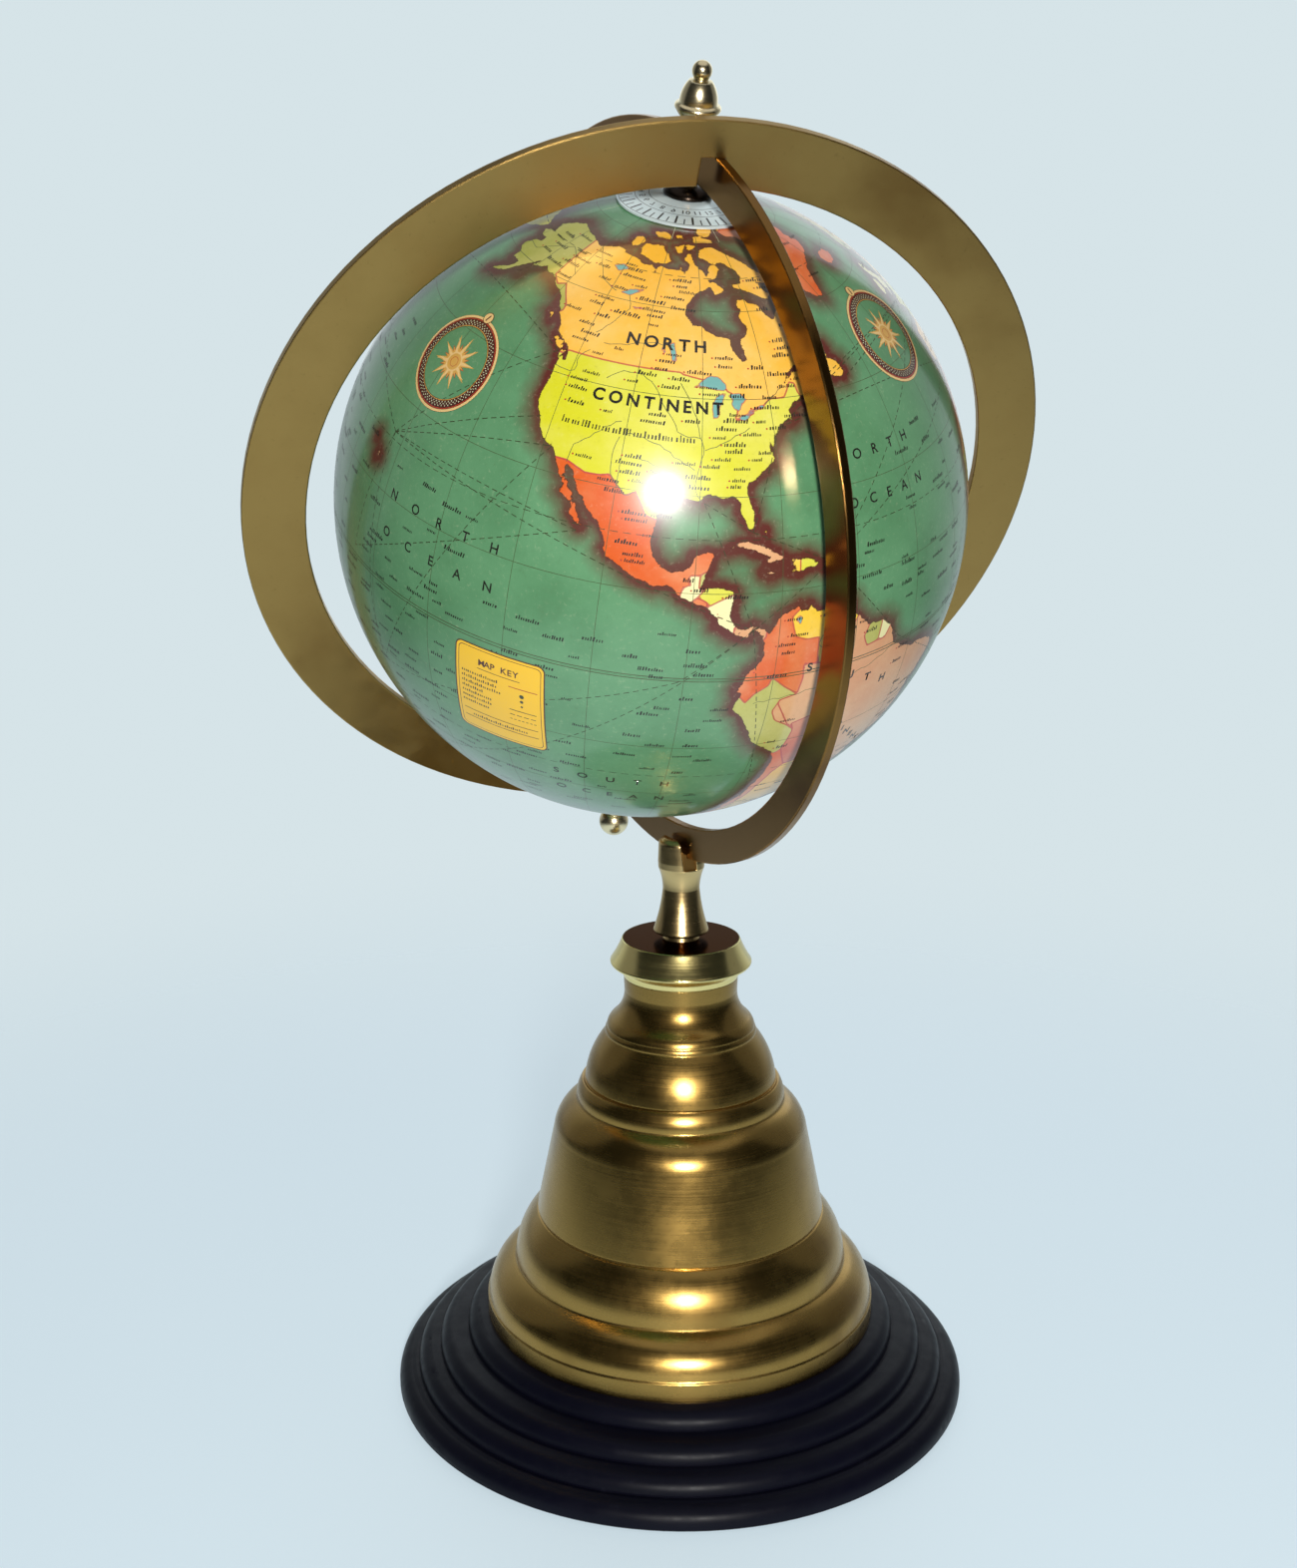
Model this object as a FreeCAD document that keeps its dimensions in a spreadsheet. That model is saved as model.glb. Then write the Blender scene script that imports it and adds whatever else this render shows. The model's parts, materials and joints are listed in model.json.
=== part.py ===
"""Terrestrial globe carried between two crossed brass rings on a bell-shaped brass stand.

Frame: millimetres, +Z up, -Y towards the front, origin at the centre of the underside.
Turned pieces are drawn as (radius, height) outlines and revolved about their own Z axis.
"""
import FreeCAD
import Part
import Sketcher
import math
import os

V = FreeCAD.Vector
doc = FreeCAD.newDocument("ArmillaryGlobe")

# ---------------------------------------------------------------- driving dimensions
DIMENSIONS = {
    # attitude of the rings, degrees
    "ring_heading": 27.8,       # plane of the meridian ring, from the front towards +X
    "ring_lean": 5.6,           # its lean towards -X
    "polar_tilt": 24.0,         # polar axis from the upright, within that plane
    "crossing_offset": 7.1,     # from the pole to where the two rings cross
    "crossing_angle": 77.2,     # between the planes of the two rings
    # globe
    "globe_radius": 101.6,
    "shell_wall": 1.6,
    "seam_gap": 0.1,
    "pole_hole": 4.0,
    "band_wall": 1.6,
    "band_width": 16.0,
    # rings
    "ring_foot": 193.0,         # lowest point of the meridian ring above the table
    "ring_thickness": 3.0,
    "ring_edge": 0.25,
    "meridian_outer": 119.4,
    "meridian_inner": 108.0,
    "outer_ring_outer": 130.5,
    "outer_ring_inner": 110.8,
    "notch_tight": 1.92,
    "notch_slack": 5.3,
    # polar rod and its fittings, heights from the globe's centre
    "rod_radius": 1.0,
    "rod_fit": 0.02,
    "running_fit": 0.06,
    "rod_grip": 7.5,
    "fitting_gap": 0.25,
    "bush_flange": 9.0,
    "bush_flange_thickness": 1.5,
    "bush_shank": 3.95,
    "bush_height": 102.4,
    "dial_radius": 20.9,
    "dial_thickness": 0.55,
    "dial_gap": 0.35,
    "dial_bore": 4.03,
    "cap_radius": 7.3,
    "cap_height": 2.8,
    "lock_nut_radius": 2.9,
    "lock_nut_height": 1.5,
    "spacer_radius": 2.6,
    # finial and ball nut, heights above the meridian ring's rim
    "rim_gap": 0.05,
    "finial_foot": 4.2,
    "finial_neck": 3.5,
    "finial_flange": 6.75,
    "finial_flange_height": 8.0,
    "finial_body": 5.55,
    "finial_ball": 2.9,
    "finial_ball_height": 18.0,
    "nut_ball": 5.3,
    "nut_ball_height": 11.8,
    "nut_neck": 2.9,
    # plinth
    "plinth_radius": 101.1,
    "second_tier": 94.0,
    "third_tier": 86.2,
    "top_tier": 76.2,
    "tier_height": 6.0,
    "tier_shoulder": 4.6,
    "tier_ledge": 1.2,
    "plinth_height": 26.1,
    "shadow_gap": 0.5,
    "felt_radius": 92.0,
    "felt_thickness": 1.2,
    "nut_recess_radius": 11.0,
    "nut_recess_depth": 12.0,
    # bell, heights above the plinth
    "bell_foot": 68.9,
    "bell_band": 6.3,
    "bell_wall": 2.0,
    "bell_height": 123.9,
    "bell_neck": 19.6,
    "bell_top_plate": 3.5,
    # collar
    "collar_height": 13.1,
    "collar_disc": 20.3,
    "collar_flange": 24.5,
    "collar_neck": 20.0,
    # stem, heights above the collar
    "stem_height": 35.9,
    "stem_neck": 6.5,
    "stem_flare": 9.5,
    "stem_waist": 6.35,
    "stem_head": 8.0,
    "slot_floor": 25.5,
    "slot_tight": 1.53,
    "slot_slack": 3.4,
    # tie rod
    "tie_radius": 2.95,
    "tie_thread": 3.0,
    "tie_clearance": 3.2,
    "tie_engagement": 14.0,
    "tie_end": 3.6,
    "tie_washer_radius": 9.0,
    "tie_washer_thickness": 1.5,
    "tie_nut_radius": 5.8,
    "tie_nut_height": 5.0,
}

sheet = doc.addObject("Spreadsheet::Sheet", "Dims")
for row, (alias, number) in enumerate(DIMENSIONS.items(), start=1):
    sheet.set(f"A{row}", alias)
    sheet.set(f"B{row}", str(number))
    sheet.setAlias(f"B{row}", alias)
doc.recompute()


class Size:
    """A number together with the sheet expression that yields it."""

    def __init__(self, number, text):
        self.number = number
        self.text = text

    def __add__(self, other):
        other = size(other)
        return Size(self.number + other.number, f"({self.text} + {other.text})")

    def __sub__(self, other):
        other = size(other)
        return Size(self.number - other.number, f"({self.text} - {other.text})")

    def __mul__(self, other):
        other = size(other)
        return Size(self.number * other.number, f"({self.text} * {other.text})")

    def __neg__(self):
        return Size(-self.number, f"(0 - {self.text})")


def size(value):
    """A plain number as a Size."""
    return value if isinstance(value, Size) else Size(value, repr(float(value)))


def leg(hypotenuse, other_leg):
    """The remaining leg of a right triangle."""
    number = math.sqrt(hypotenuse.number ** 2 - other_leg.number ** 2)
    return Size(number, f"sqrt({hypotenuse.text}^2 - {other_leg.text}^2)")


def tangent(angle):
    """The tangent of an angle that is given in degrees."""
    return Size(math.tan(math.radians(angle.number)), f"tan({angle.text} * 1 deg)")


D = {name: Size(float(sheet.get(name)), f"Dims.{name}") for name in DIMENSIONS}

# ---------------------------------------------------------------- places
heading = math.radians(D["ring_heading"].number)
lean = math.radians(D["ring_lean"].number)
tilt = math.radians(D["polar_tilt"].number)
crossing = tilt + math.radians(D["crossing_offset"].number)
twist = math.radians(90.0 - D["crossing_angle"].number)

# directions of the meridian ring: across it, and forwards and upwards within its plane
across = V(math.cos(lean) * math.cos(heading), math.cos(lean) * math.sin(heading), math.sin(lean))
forwards = V(math.sin(heading), -math.cos(heading), 0)
upwards = forwards.cross(across)
pole = upwards * math.cos(tilt) + forwards * math.sin(tilt)
crossing_line = upwards * math.cos(crossing) + forwards * math.sin(crossing)
crossing_front = forwards * math.cos(crossing) - upwards * math.sin(crossing)
outer_ring_normal = crossing_front * math.cos(twist) - across * math.sin(twist)

globe_centre = V(0, 0, D["ring_foot"].number) + upwards * D["meridian_outer"].number
bell_seat = D["plinth_height"]
collar_seat = bell_seat + D["bell_height"]
stem_seat = collar_seat + D["collar_height"]
ring_level = D["ring_foot"] - stem_seat


def standing(height):
    """Upright, at a height above the table."""
    return FreeCAD.Placement(V(0, 0, size(height).number), FreeCAD.Rotation())


def along(place, distance):
    """Further along the Z axis of another placement."""
    return place.multiply(standing(distance))


north = FreeCAD.Placement(globe_centre, FreeCAD.Rotation(V(), across, pole, "ZYX"))
south = north.multiply(FreeCAD.Placement(V(), FreeCAD.Rotation(V(1, 0, 0), 180)))
crossed = FreeCAD.Placement(
    globe_centre, FreeCAD.Rotation(V(), outer_ring_normal, crossing_line, "ZYX"))
stem_place = FreeCAD.Placement(
    V(0, 0, stem_seat.number), FreeCAD.Rotation(V(0, 0, 1), D["ring_heading"].number))

# ---------------------------------------------------------------- building blocks
pieces = []


def piece(label, shape_object, placement):
    """Registers a finished sub-part under its node name."""
    shape_object.Label = label
    shape_object.Placement = placement
    pieces.append(shape_object)


def origin_feature(body, role):
    """One of the body's own origin planes or axes."""
    return next(item for item in body.Origin.OriginFeatures if item.Role == role)


def new_sketch(body, role, name):
    """An empty sketch on one of the body's origin planes."""
    sketch = body.newObject("Sketcher::SketchObject", name)
    sketch.AttachmentSupport = [(origin_feature(body, role), "")]
    sketch.MapMode = "FlatFace"
    return sketch


def constrain(sketch, kind, *arguments):
    """Adds a constraint and returns its number."""
    return sketch.addConstraint(Sketcher.Constraint(kind, *arguments))


def dimension(sketch, value, kind, *arguments):
    """Adds a dimension and ties it to the sheet."""
    index = constrain(sketch, kind, *arguments, value.number)
    sketch.setExpression(f"Constraints[{index}]", value.text)


def pin_down(sketch, edge, end, x, y):
    """Dimensions an edge's end point from the sketch's origin."""
    for kind, axis, value in (("DistanceX", -2, x), ("DistanceY", -1, y)):
        if value.number == 0:
            constrain(sketch, "PointOnObject", edge, end, axis)
        elif value.number > 0:
            dimension(sketch, value, kind, -1, 1, edge, end)
        else:
            dimension(sketch, -value, kind, edge, end, -1, 1)


def arc_between(start, end, radius):
    """The short arc from start to end; a negative radius curves clockwise."""
    chord = end - start
    side = V(-chord.y, chord.x, 0).normalize()
    reach = math.sqrt(radius ** 2 - (chord.Length / 2) ** 2)
    centre = (start + end) * 0.5 + side * math.copysign(reach, radius)
    first, last = (start, end) if radius > 0 else (end, start)
    angles = [math.atan2(point.y - centre.y, point.x - centre.x) for point in (first, last)]
    return Part.ArcOfCircle(Part.Circle(centre, V(0, 0, 1), abs(radius)), *angles)


def draw_circle(sketch, radius):
    """A circle about the sketch's origin."""
    circle = sketch.addGeometry(Part.Circle(V(), V(0, 0, 1), radius.number))
    constrain(sketch, "Coincident", circle, 3, -1, 1)
    dimension(sketch, radius, "Radius", circle)


def draw_outline(sketch, corners):
    """Closed outline through corners (x, y) or (x, y, radius of the arc that arrives there)."""
    corners = [tuple(size(value) for value in corner) for corner in corners]
    edges = []
    for here, there in zip(corners, corners[1:] + corners[:1]):
        start = V(here[0].number, here[1].number, 0)
        end = V(there[0].number, there[1].number, 0)
        if len(there) == 2:
            edges.append((sketch.addGeometry(Part.LineSegment(start, end)), 1, 2))
            continue
        radius = there[2]
        edge = sketch.addGeometry(arc_between(start, end, radius.number))
        edges.append((edge, 1, 2) if radius.number > 0 else (edge, 2, 1))
        dimension(sketch, radius if radius.number > 0 else -radius, "Radius", edge)
    for (edge, _, finish), (following, begin, _) in zip(edges, edges[1:] + edges[:1]):
        constrain(sketch, "Coincident", edge, finish, following, begin)
    for (edge, begin, _), corner in zip(edges, corners):
        pin_down(sketch, edge, begin, corner[0], corner[1])


def turned_body(name, corners):
    """A body revolved about its Z axis from a (radius, height) outline."""
    body = doc.addObject("PartDesign::Body", "body_" + name)
    sketch = new_sketch(body, "XZ_Plane", name + "_outline")
    draw_outline(sketch, corners)
    turning = body.newObject("PartDesign::Revolution", name + "_turning")
    turning.Profile = sketch
    turning.ReferenceAxis = (sketch, ["V_Axis"])
    turning.Angle = 360
    return body


def turned(label, corners, placement):
    """A turned sub-part."""
    piece(label, turned_body(label, corners), placement)


def tube(label, inner, outer, low, high, placement):
    """A plain tube or washer between two heights."""
    turned(label, [(inner, low), (outer, low), (outer, high), (inner, high)], placement)


def bar(label, radius, length, placement):
    """A plain round bar."""
    cylinder = doc.addObject("Part::Cylinder", "bar_" + label)
    cylinder.setExpression("Radius", radius.text)
    cylinder.setExpression("Height", length.text)
    piece(label, cylinder, placement)


def hexagon_nut(label, corner_radius, height, bore, placement):
    """A plain hexagon nut that stands on its own origin."""
    prism = doc.addObject("Part::Prism", "hexagon_" + label)
    prism.Polygon = 6
    prism.setExpression("Circumradius", corner_radius.text)
    prism.setExpression("Height", height.text)
    hole = doc.addObject("Part::Cylinder", "bore_" + label)
    hole.setExpression("Radius", bore.text)
    hole.setExpression("Height", height.text)
    nut = doc.addObject("Part::Cut", "nut_" + label)
    nut.Base = prism
    nut.Tool = hole
    piece(label, nut, placement)


def pad_both_ways(body, sketch, name, length):
    """Extrudes a sketch equally to both sides."""
    pad = body.newObject("PartDesign::Pad", name)
    pad.Profile = sketch
    pad.SideType = "Symmetric"
    pad.setExpression("Length", length.text)
    return pad


def cut_both_ways(body, sketch, name):
    """Cuts a sketch through the whole body, to both sides."""
    doc.recompute()
    volume_before = body.Shape.Volume
    pocket = body.newObject("PartDesign::Pocket", name)
    pocket.Profile = sketch
    pocket.Type = "ThroughAll"
    pocket.SideType = "Symmetric"
    doc.recompute()
    if body.Shape.Volume >= volume_before:
        raise RuntimeError(name + " removes nothing")
    return pocket


def ring_body(name, outer, inner):
    """A flat ring about the origin, square to Y, with eased edges."""
    body = doc.addObject("PartDesign::Body", "body_" + name)
    sketch = new_sketch(body, "XZ_Plane", name + "_circles")
    draw_circle(sketch, outer)
    draw_circle(sketch, inner)
    plate = pad_both_ways(body, sketch, name + "_plate", D["ring_thickness"])
    doc.recompute()
    easing = body.newObject("PartDesign::Chamfer", name + "_easing")
    circles = [f"Edge{number}" for number, edge in enumerate(plate.Shape.Edges, start=1)
               if isinstance(edge.Curve, Part.Circle)]
    easing.Base = (plate, circles)
    easing.setExpression("Size", D["ring_edge"].text)
    return body


# ---------------------------------------------------------------- stand
def build_plinth():
    """Four rounded tiers, bored for the tie rod and recessed below for its nut and the felt."""
    bar("felt_pad", D["felt_radius"], D["felt_thickness"], standing(0))
    foot = D["plinth_radius"]
    gap = D["shadow_gap"]
    felt_recess = D["felt_radius"] + 0.3
    corners = [
        (D["tie_clearance"], D["nut_recess_depth"]),
        (D["nut_recess_radius"], D["nut_recess_depth"]),
        (D["nut_recess_radius"], D["felt_thickness"]),
        (felt_recess, D["felt_thickness"]),
        (felt_recess, gap),
        (foot - 0.8, gap),
        (foot, gap + 0.8),
    ]
    radii = [foot, D["second_tier"], D["third_tier"], D["top_tier"]]
    for index, radius in enumerate(radii):
        ceiling = D["plinth_height"] - D["tier_height"] * (3 - index)
        corners.append((radius, ceiling - D["tier_height"] + 0.6))
        corners.append((radius - D["tier_shoulder"], ceiling - 0.4, D["tier_shoulder"] + 0.5))
        if index < 3:
            corners.append((radii[index + 1] + D["tier_ledge"], ceiling))
            corners.append((radii[index + 1], ceiling))
    corners.append((D["bell_foot"] + 0.6, D["plinth_height"]))
    corners.append((D["tie_clearance"], D["plinth_height"]))
    turned("plinth", corners, standing(0))


def build_bell():
    """Thin-walled bell, open below, with a plate across its neck for the tie rod."""
    foot = D["bell_foot"]
    wall = D["bell_wall"]
    neck = D["bell_neck"]
    top = D["bell_height"]
    ceiling = top - D["bell_top_plate"]
    shoulder = foot - 24.3
    collar = foot - 34.3
    outside = [
        (foot, 0),
        (foot, D["bell_band"]),
        (foot - 0.5, D["bell_band"] + 0.5),
        (foot - 9.9, 19.7, 14.0),
        (foot - 10.2, 20.2),
        (foot - 17.9, 37.4, 24.0),
        (foot - 18.5, 37.6),
        (foot - 18.2, 38.5),
        (shoulder, 68.0),
        (shoulder - 7.8, 78.9, 14.0),
        (shoulder - 8.1, 79.3),
        (shoulder - 9.6, 85.4, 10.0),
        (collar - 0.1, 86.1),
        (collar - 1.3, 85.8),
        (collar - 1.1, 86.8),
        (collar - 7.9, 102.9, 30.0),
        (collar - 8.2, 103.2),
        (collar - 8.8, 105.3, 2.5),
        (collar - 8.8, 105.7),
        (neck + 4.6, 108.6, 5.0),
        (neck, 118.5, -12.5),
        (neck + 0.3, top),
    ]
    inside = [
        (D["tie_clearance"], top),
        (D["tie_clearance"], ceiling),
        (neck - wall, ceiling),
        (neck - wall, 115.5),
        (neck + 4.6 - wall, 105.5),
        (collar - 1.2 - wall, 86.0),
        (shoulder - 8.6 - wall, 77.5),
        (shoulder - wall, 66.5),
        (foot - 18.3 - wall, 38.1),
        (foot - 10.4 - wall, 19.0),
        (foot - 0.5 - wall, 7.0),
        (foot - wall, 0),
    ]
    turned("bell_body", outside + inside, standing(bell_seat))


def build_collar():
    """Cap on the bell's neck, with a flared flange below a flat disc."""
    neck = D["collar_neck"]
    flange = D["collar_flange"]
    disc = D["collar_disc"]
    top = D["collar_height"]
    turned("bell_collar", [
        (D["tie_clearance"], 0),
        (neck, 0),
        (neck + 0.3, 1.8),
        (flange - 0.7, 4.1, -5.0),
        (flange, 4.9, 0.8),
        (flange - 0.3, 5.6, 0.8),
        (disc + 0.25, top - 0.4, -40.0),
        (disc, top),
        (D["tie_clearance"], top),
    ], standing(collar_seat))


def build_stem():
    """Turned baluster with a leaning slot across its head that holds the meridian ring."""
    head = D["stem_head"]
    flare = D["stem_flare"]
    neck = D["stem_neck"]
    top = D["stem_height"]
    thread_end = D["tie_engagement"] + 0.5
    body = turned_body("stem", [
        (D["tie_thread"], 0),
        (neck, 0),
        (neck - 0.5, 1.2),
        (neck, 2.2),
        (flare - 0.3, 2.4),
        (flare, 3.3, 0.7),
        (D["stem_waist"], 17.8, -60.0),
        (head - 0.1, 25.4, -20.0),
        (head, 27.6),
        (head - 0.2, top - 2.2),
        (head - 2.2, top, 2.4),
        (0, top),
        (0, thread_end),
        (D["tie_thread"], thread_end),
    ])
    slope = tangent(D["ring_lean"])
    shift_at_floor = slope * (ring_level - D["slot_floor"])
    shift_at_top = slope * (ring_level - top - 1.0)
    slot = new_sketch(body, "XZ_Plane", "slot_outline")
    draw_outline(slot, [
        (shift_at_floor - D["slot_slack"], D["slot_floor"]),
        (shift_at_floor + D["slot_tight"], D["slot_floor"]),
        (shift_at_top + D["slot_tight"], top + 1.0),
        (shift_at_top - D["slot_slack"], top + 1.0),
    ])
    cut_both_ways(body, slot, "slot")
    piece("stem", body, stem_place)


def build_braze():
    """Filler that fixes the meridian ring in the slack side of the stem's slot."""
    slope = tangent(D["ring_lean"])
    floor = D["slot_floor"] + 0.02
    rim = ring_level - 0.05
    fill = ring_level + 2.6
    meniscus = fill - 1.2
    tight = D["slot_tight"]
    slack = D["slot_slack"] - 0.03
    body = doc.addObject("PartDesign::Body", "body_braze_fillet")
    outline = new_sketch(body, "XZ_Plane", "braze_outline")
    draw_outline(outline, [
        (slope * (ring_level - floor) - slack, floor),
        (slope * (ring_level - floor) + tight - 0.03, floor),
        (slope * (ring_level - rim) + tight - 0.03, rim),
        (slope * (ring_level - rim) - tight, rim),
        (slope * (ring_level - meniscus) - tight, meniscus),
        (slope * (ring_level - fill) - slack, fill, -3.0),
    ])
    pad_both_ways(body, outline, "braze_bead", D["stem_head"] * 1.8)
    piece("braze_fillet", body, stem_place)


def build_tie():
    """Rod, washer and nut that draw the plinth, bell, collar and stem together."""
    length = stem_seat + D["tie_engagement"] - D["tie_end"]
    bar("tie_rod", D["tie_radius"], length, standing(D["tie_end"]))
    washer_seat = D["nut_recess_depth"] - D["tie_washer_thickness"]
    tube("tie_washer", D["tie_clearance"], D["tie_washer_radius"],
         0, D["tie_washer_thickness"], standing(washer_seat))
    hexagon_nut("tie_nut", D["tie_nut_radius"], D["tie_nut_height"], D["tie_thread"],
                standing(washer_seat - D["tie_nut_height"]))


# ---------------------------------------------------------------- rings
def build_meridian_ring():
    """The inner ring, drilled at both poles for the polar rod."""
    body = ring_body("meridian_ring", D["meridian_outer"], D["meridian_inner"])
    hole = new_sketch(body, "XY_Plane", "pole_hole_circle")
    draw_circle(hole, D["rod_radius"] + D["rod_fit"])
    cut_both_ways(body, hole, "pole_holes")
    piece("meridian_ring", body, north)


def build_outer_ring():
    """The wider outer ring, notched from inside where it crosses the meridian ring."""
    body = ring_body("outer_ring", D["outer_ring_outer"], D["outer_ring_inner"])
    root = D["meridian_outer"] + 0.1
    mouth = D["outer_ring_inner"] - 3.0
    outline = new_sketch(body, "XZ_Plane", "notch_outline")
    for side in (1, -1):
        draw_outline(outline, [
            (D["notch_tight"] * -1, mouth * side),
            (D["notch_slack"], mouth * side),
            (D["notch_slack"], root * side),
            (D["notch_tight"] * -1, root * side),
        ])
    cut_both_ways(body, outline, "notches")
    piece("outer_ring", body, crossed)


# ---------------------------------------------------------------- globe
def build_half_globe(side, placement):
    """Half of the globe's shell, from its seam to its pole hole, with the bush in that hole."""
    outer = D["globe_radius"]
    inner = outer - D["shell_wall"]
    seam = D["seam_gap"] * 0.5
    hole = D["pole_hole"]
    turned("globe_" + side, [
        (leg(inner, seam), seam, -inner),
        (leg(outer, seam), seam),
        (hole, leg(outer, hole), outer),
        (hole, leg(inner, hole)),
    ], placement)
    bore = D["rod_radius"] + D["running_fit"]
    flange_top = leg(inner, D["bush_flange"]) - 0.1
    turned(side + "_bush", [
        (bore, flange_top - D["bush_flange_thickness"]),
        (D["bush_flange"], flange_top - D["bush_flange_thickness"]),
        (D["bush_flange"], flange_top),
        (D["bush_shank"], flange_top),
        (D["bush_shank"], D["bush_height"]),
        (bore, D["bush_height"]),
    ], placement)


def build_band():
    """Band glued inside the seam between the two halves."""
    half_width = D["band_width"] * 0.5
    outer = leg(D["globe_radius"] - D["shell_wall"], half_width) - 0.08
    tube("equator_band", outer - D["band_wall"], outer, -half_width, half_width, north)


def build_hour_dial():
    """Dished dial that follows the globe's surface and turns about the north bush."""
    under = D["globe_radius"] + D["dial_gap"]
    over = under + D["dial_thickness"]
    bore = D["dial_bore"]
    rim = D["dial_radius"]
    turned("hour_dial", [
        (bore, leg(under, bore)),
        (rim, leg(under, rim), -under),
        (rim, leg(over, rim)),
        (bore, leg(over, bore), over),
    ], north)


# ---------------------------------------------------------------- polar rod
def build_polar_rod():
    """Rod through the globe, with what holds it in the meridian ring at either end."""
    grip = D["rod_radius"] + D["rod_fit"]
    reach = D["meridian_outer"] + D["rod_grip"]
    bar("axis_rod", D["rod_radius"], reach * 2.0, along(north, -reach))

    cap_base = D["bush_height"] + D["fitting_gap"]
    cap_top = cap_base + D["cap_height"]
    turned("pole_cap", [
        (grip, cap_base),
        (D["cap_radius"], cap_base),
        (D["cap_radius"], cap_base + 0.8),
        (D["cap_radius"] - 3.9, cap_top, 6.0),
        (grip, cap_top),
    ], north)
    nut_base = D["meridian_inner"] - D["rim_gap"] - D["lock_nut_height"]
    tube("north_washer", grip, D["spacer_radius"], cap_top, nut_base, north)
    tube("south_spacer", grip, D["spacer_radius"], cap_base, nut_base, south)
    for side, place in (("north", north), ("south", south)):
        hexagon_nut(side + "_lock_nut", D["lock_nut_radius"], D["lock_nut_height"], grip,
                    along(place, nut_base))


def build_finial():
    """Acorn nut on the rod's north end: foot, flange, bell-shaped body and small ball."""
    grip = D["rod_radius"] + D["rod_fit"]
    socket = D["rod_grip"] + 0.1
    foot = D["finial_foot"]
    neck = D["finial_neck"]
    flange = D["finial_flange"]
    level = D["finial_flange_height"]
    shoulder = D["finial_body"]
    ball = D["finial_ball"]
    centre = D["finial_ball_height"]
    pinch = ball - 0.6
    turned("north_finial", [
        (grip, 0),
        (foot, 0),
        (foot, 1.0),
        (neck, 1.8, -1.2),
        (neck, 3.4),
        (flange - 1.45, level - 2.3, -3.0),
        (flange - 0.4, level - 0.8),
        (flange, level, 1.1),
        (flange - 0.5, level + 0.8, 0.9),
        (shoulder, level + 1.2),
        (shoulder - 2.2, centre - 2.7, 9.7),
        (pinch - 0.2, centre - 2.3),
        (pinch, centre - leg(ball, pinch)),
        (0, centre + ball, ball),
        (0, socket),
        (grip, socket),
    ], along(north, D["meridian_outer"] + D["rim_gap"]))


def build_ball_nut():
    """Round nut on the rod's south end."""
    grip = D["rod_radius"] + D["rod_fit"]
    socket = D["rod_grip"] + 0.1
    neck = D["nut_neck"]
    ball = D["nut_ball"]
    centre = D["nut_ball_height"]
    turned("south_ball_nut", [
        (grip, 0),
        (neck + 1.1, 0),
        (neck + 1.1, 1.4),
        (neck, 2.5, -1.4),
        (neck, centre - leg(ball, neck)),
        (0, centre + ball, ball),
        (0, socket),
        (grip, socket),
    ], along(south, D["meridian_outer"] + D["rim_gap"]))


build_plinth()
build_bell()
build_collar()
build_stem()
build_braze()
build_tie()
build_meridian_ring()
build_outer_ring()
build_half_globe("north", north)
build_half_globe("south", south)
build_band()
build_hour_dial()
build_polar_rod()
build_finial()
build_ball_nut()
doc.recompute()

# ---------------------------------------------------------------- checks and export
for item in doc.Objects:
    if "Invalid" in item.State or "Error" in item.State:
        raise RuntimeError(f"{item.Name} failed: {item.State}")
for item in pieces:
    if item.Shape.isNull() or not item.Shape.isValid() or len(item.Shape.Solids) != 1:
        raise RuntimeError(f"{item.Label} has no single valid solid")

os.makedirs("parts", exist_ok=True)
for item in pieces:
    item.Shape.exportStep(f"parts/{item.Label}.step")
    print(f"{item.Label:16s} {item.Shape.Volume:12.1f} mm3")
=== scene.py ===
"""Looks of the globe in its armillary rings: materials, printed map, dial marks, light and camera."""
import json
import math

import bpy
import numpy as np
from mathutils import Matrix, Vector


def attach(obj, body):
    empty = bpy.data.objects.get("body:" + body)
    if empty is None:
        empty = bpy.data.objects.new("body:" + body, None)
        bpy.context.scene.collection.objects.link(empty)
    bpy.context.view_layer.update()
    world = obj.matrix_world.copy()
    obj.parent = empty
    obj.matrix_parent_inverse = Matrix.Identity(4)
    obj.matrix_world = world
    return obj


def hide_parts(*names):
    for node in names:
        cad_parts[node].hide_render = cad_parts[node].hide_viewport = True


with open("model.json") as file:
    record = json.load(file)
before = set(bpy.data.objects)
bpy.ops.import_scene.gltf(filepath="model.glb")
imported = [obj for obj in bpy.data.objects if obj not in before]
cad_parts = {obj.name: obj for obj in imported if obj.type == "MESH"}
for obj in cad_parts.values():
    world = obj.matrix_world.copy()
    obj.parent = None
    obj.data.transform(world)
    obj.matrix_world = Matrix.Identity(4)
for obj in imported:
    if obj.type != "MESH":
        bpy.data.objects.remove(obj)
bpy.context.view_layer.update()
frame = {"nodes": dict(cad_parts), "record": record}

NODES = frame["nodes"]
MM = 0.001


def add_object(name, data):
    """An object in the scene for a mesh, a light or a camera."""
    made = bpy.data.objects.new(name, data)
    bpy.context.scene.collection.objects.link(made)
    return made


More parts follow.
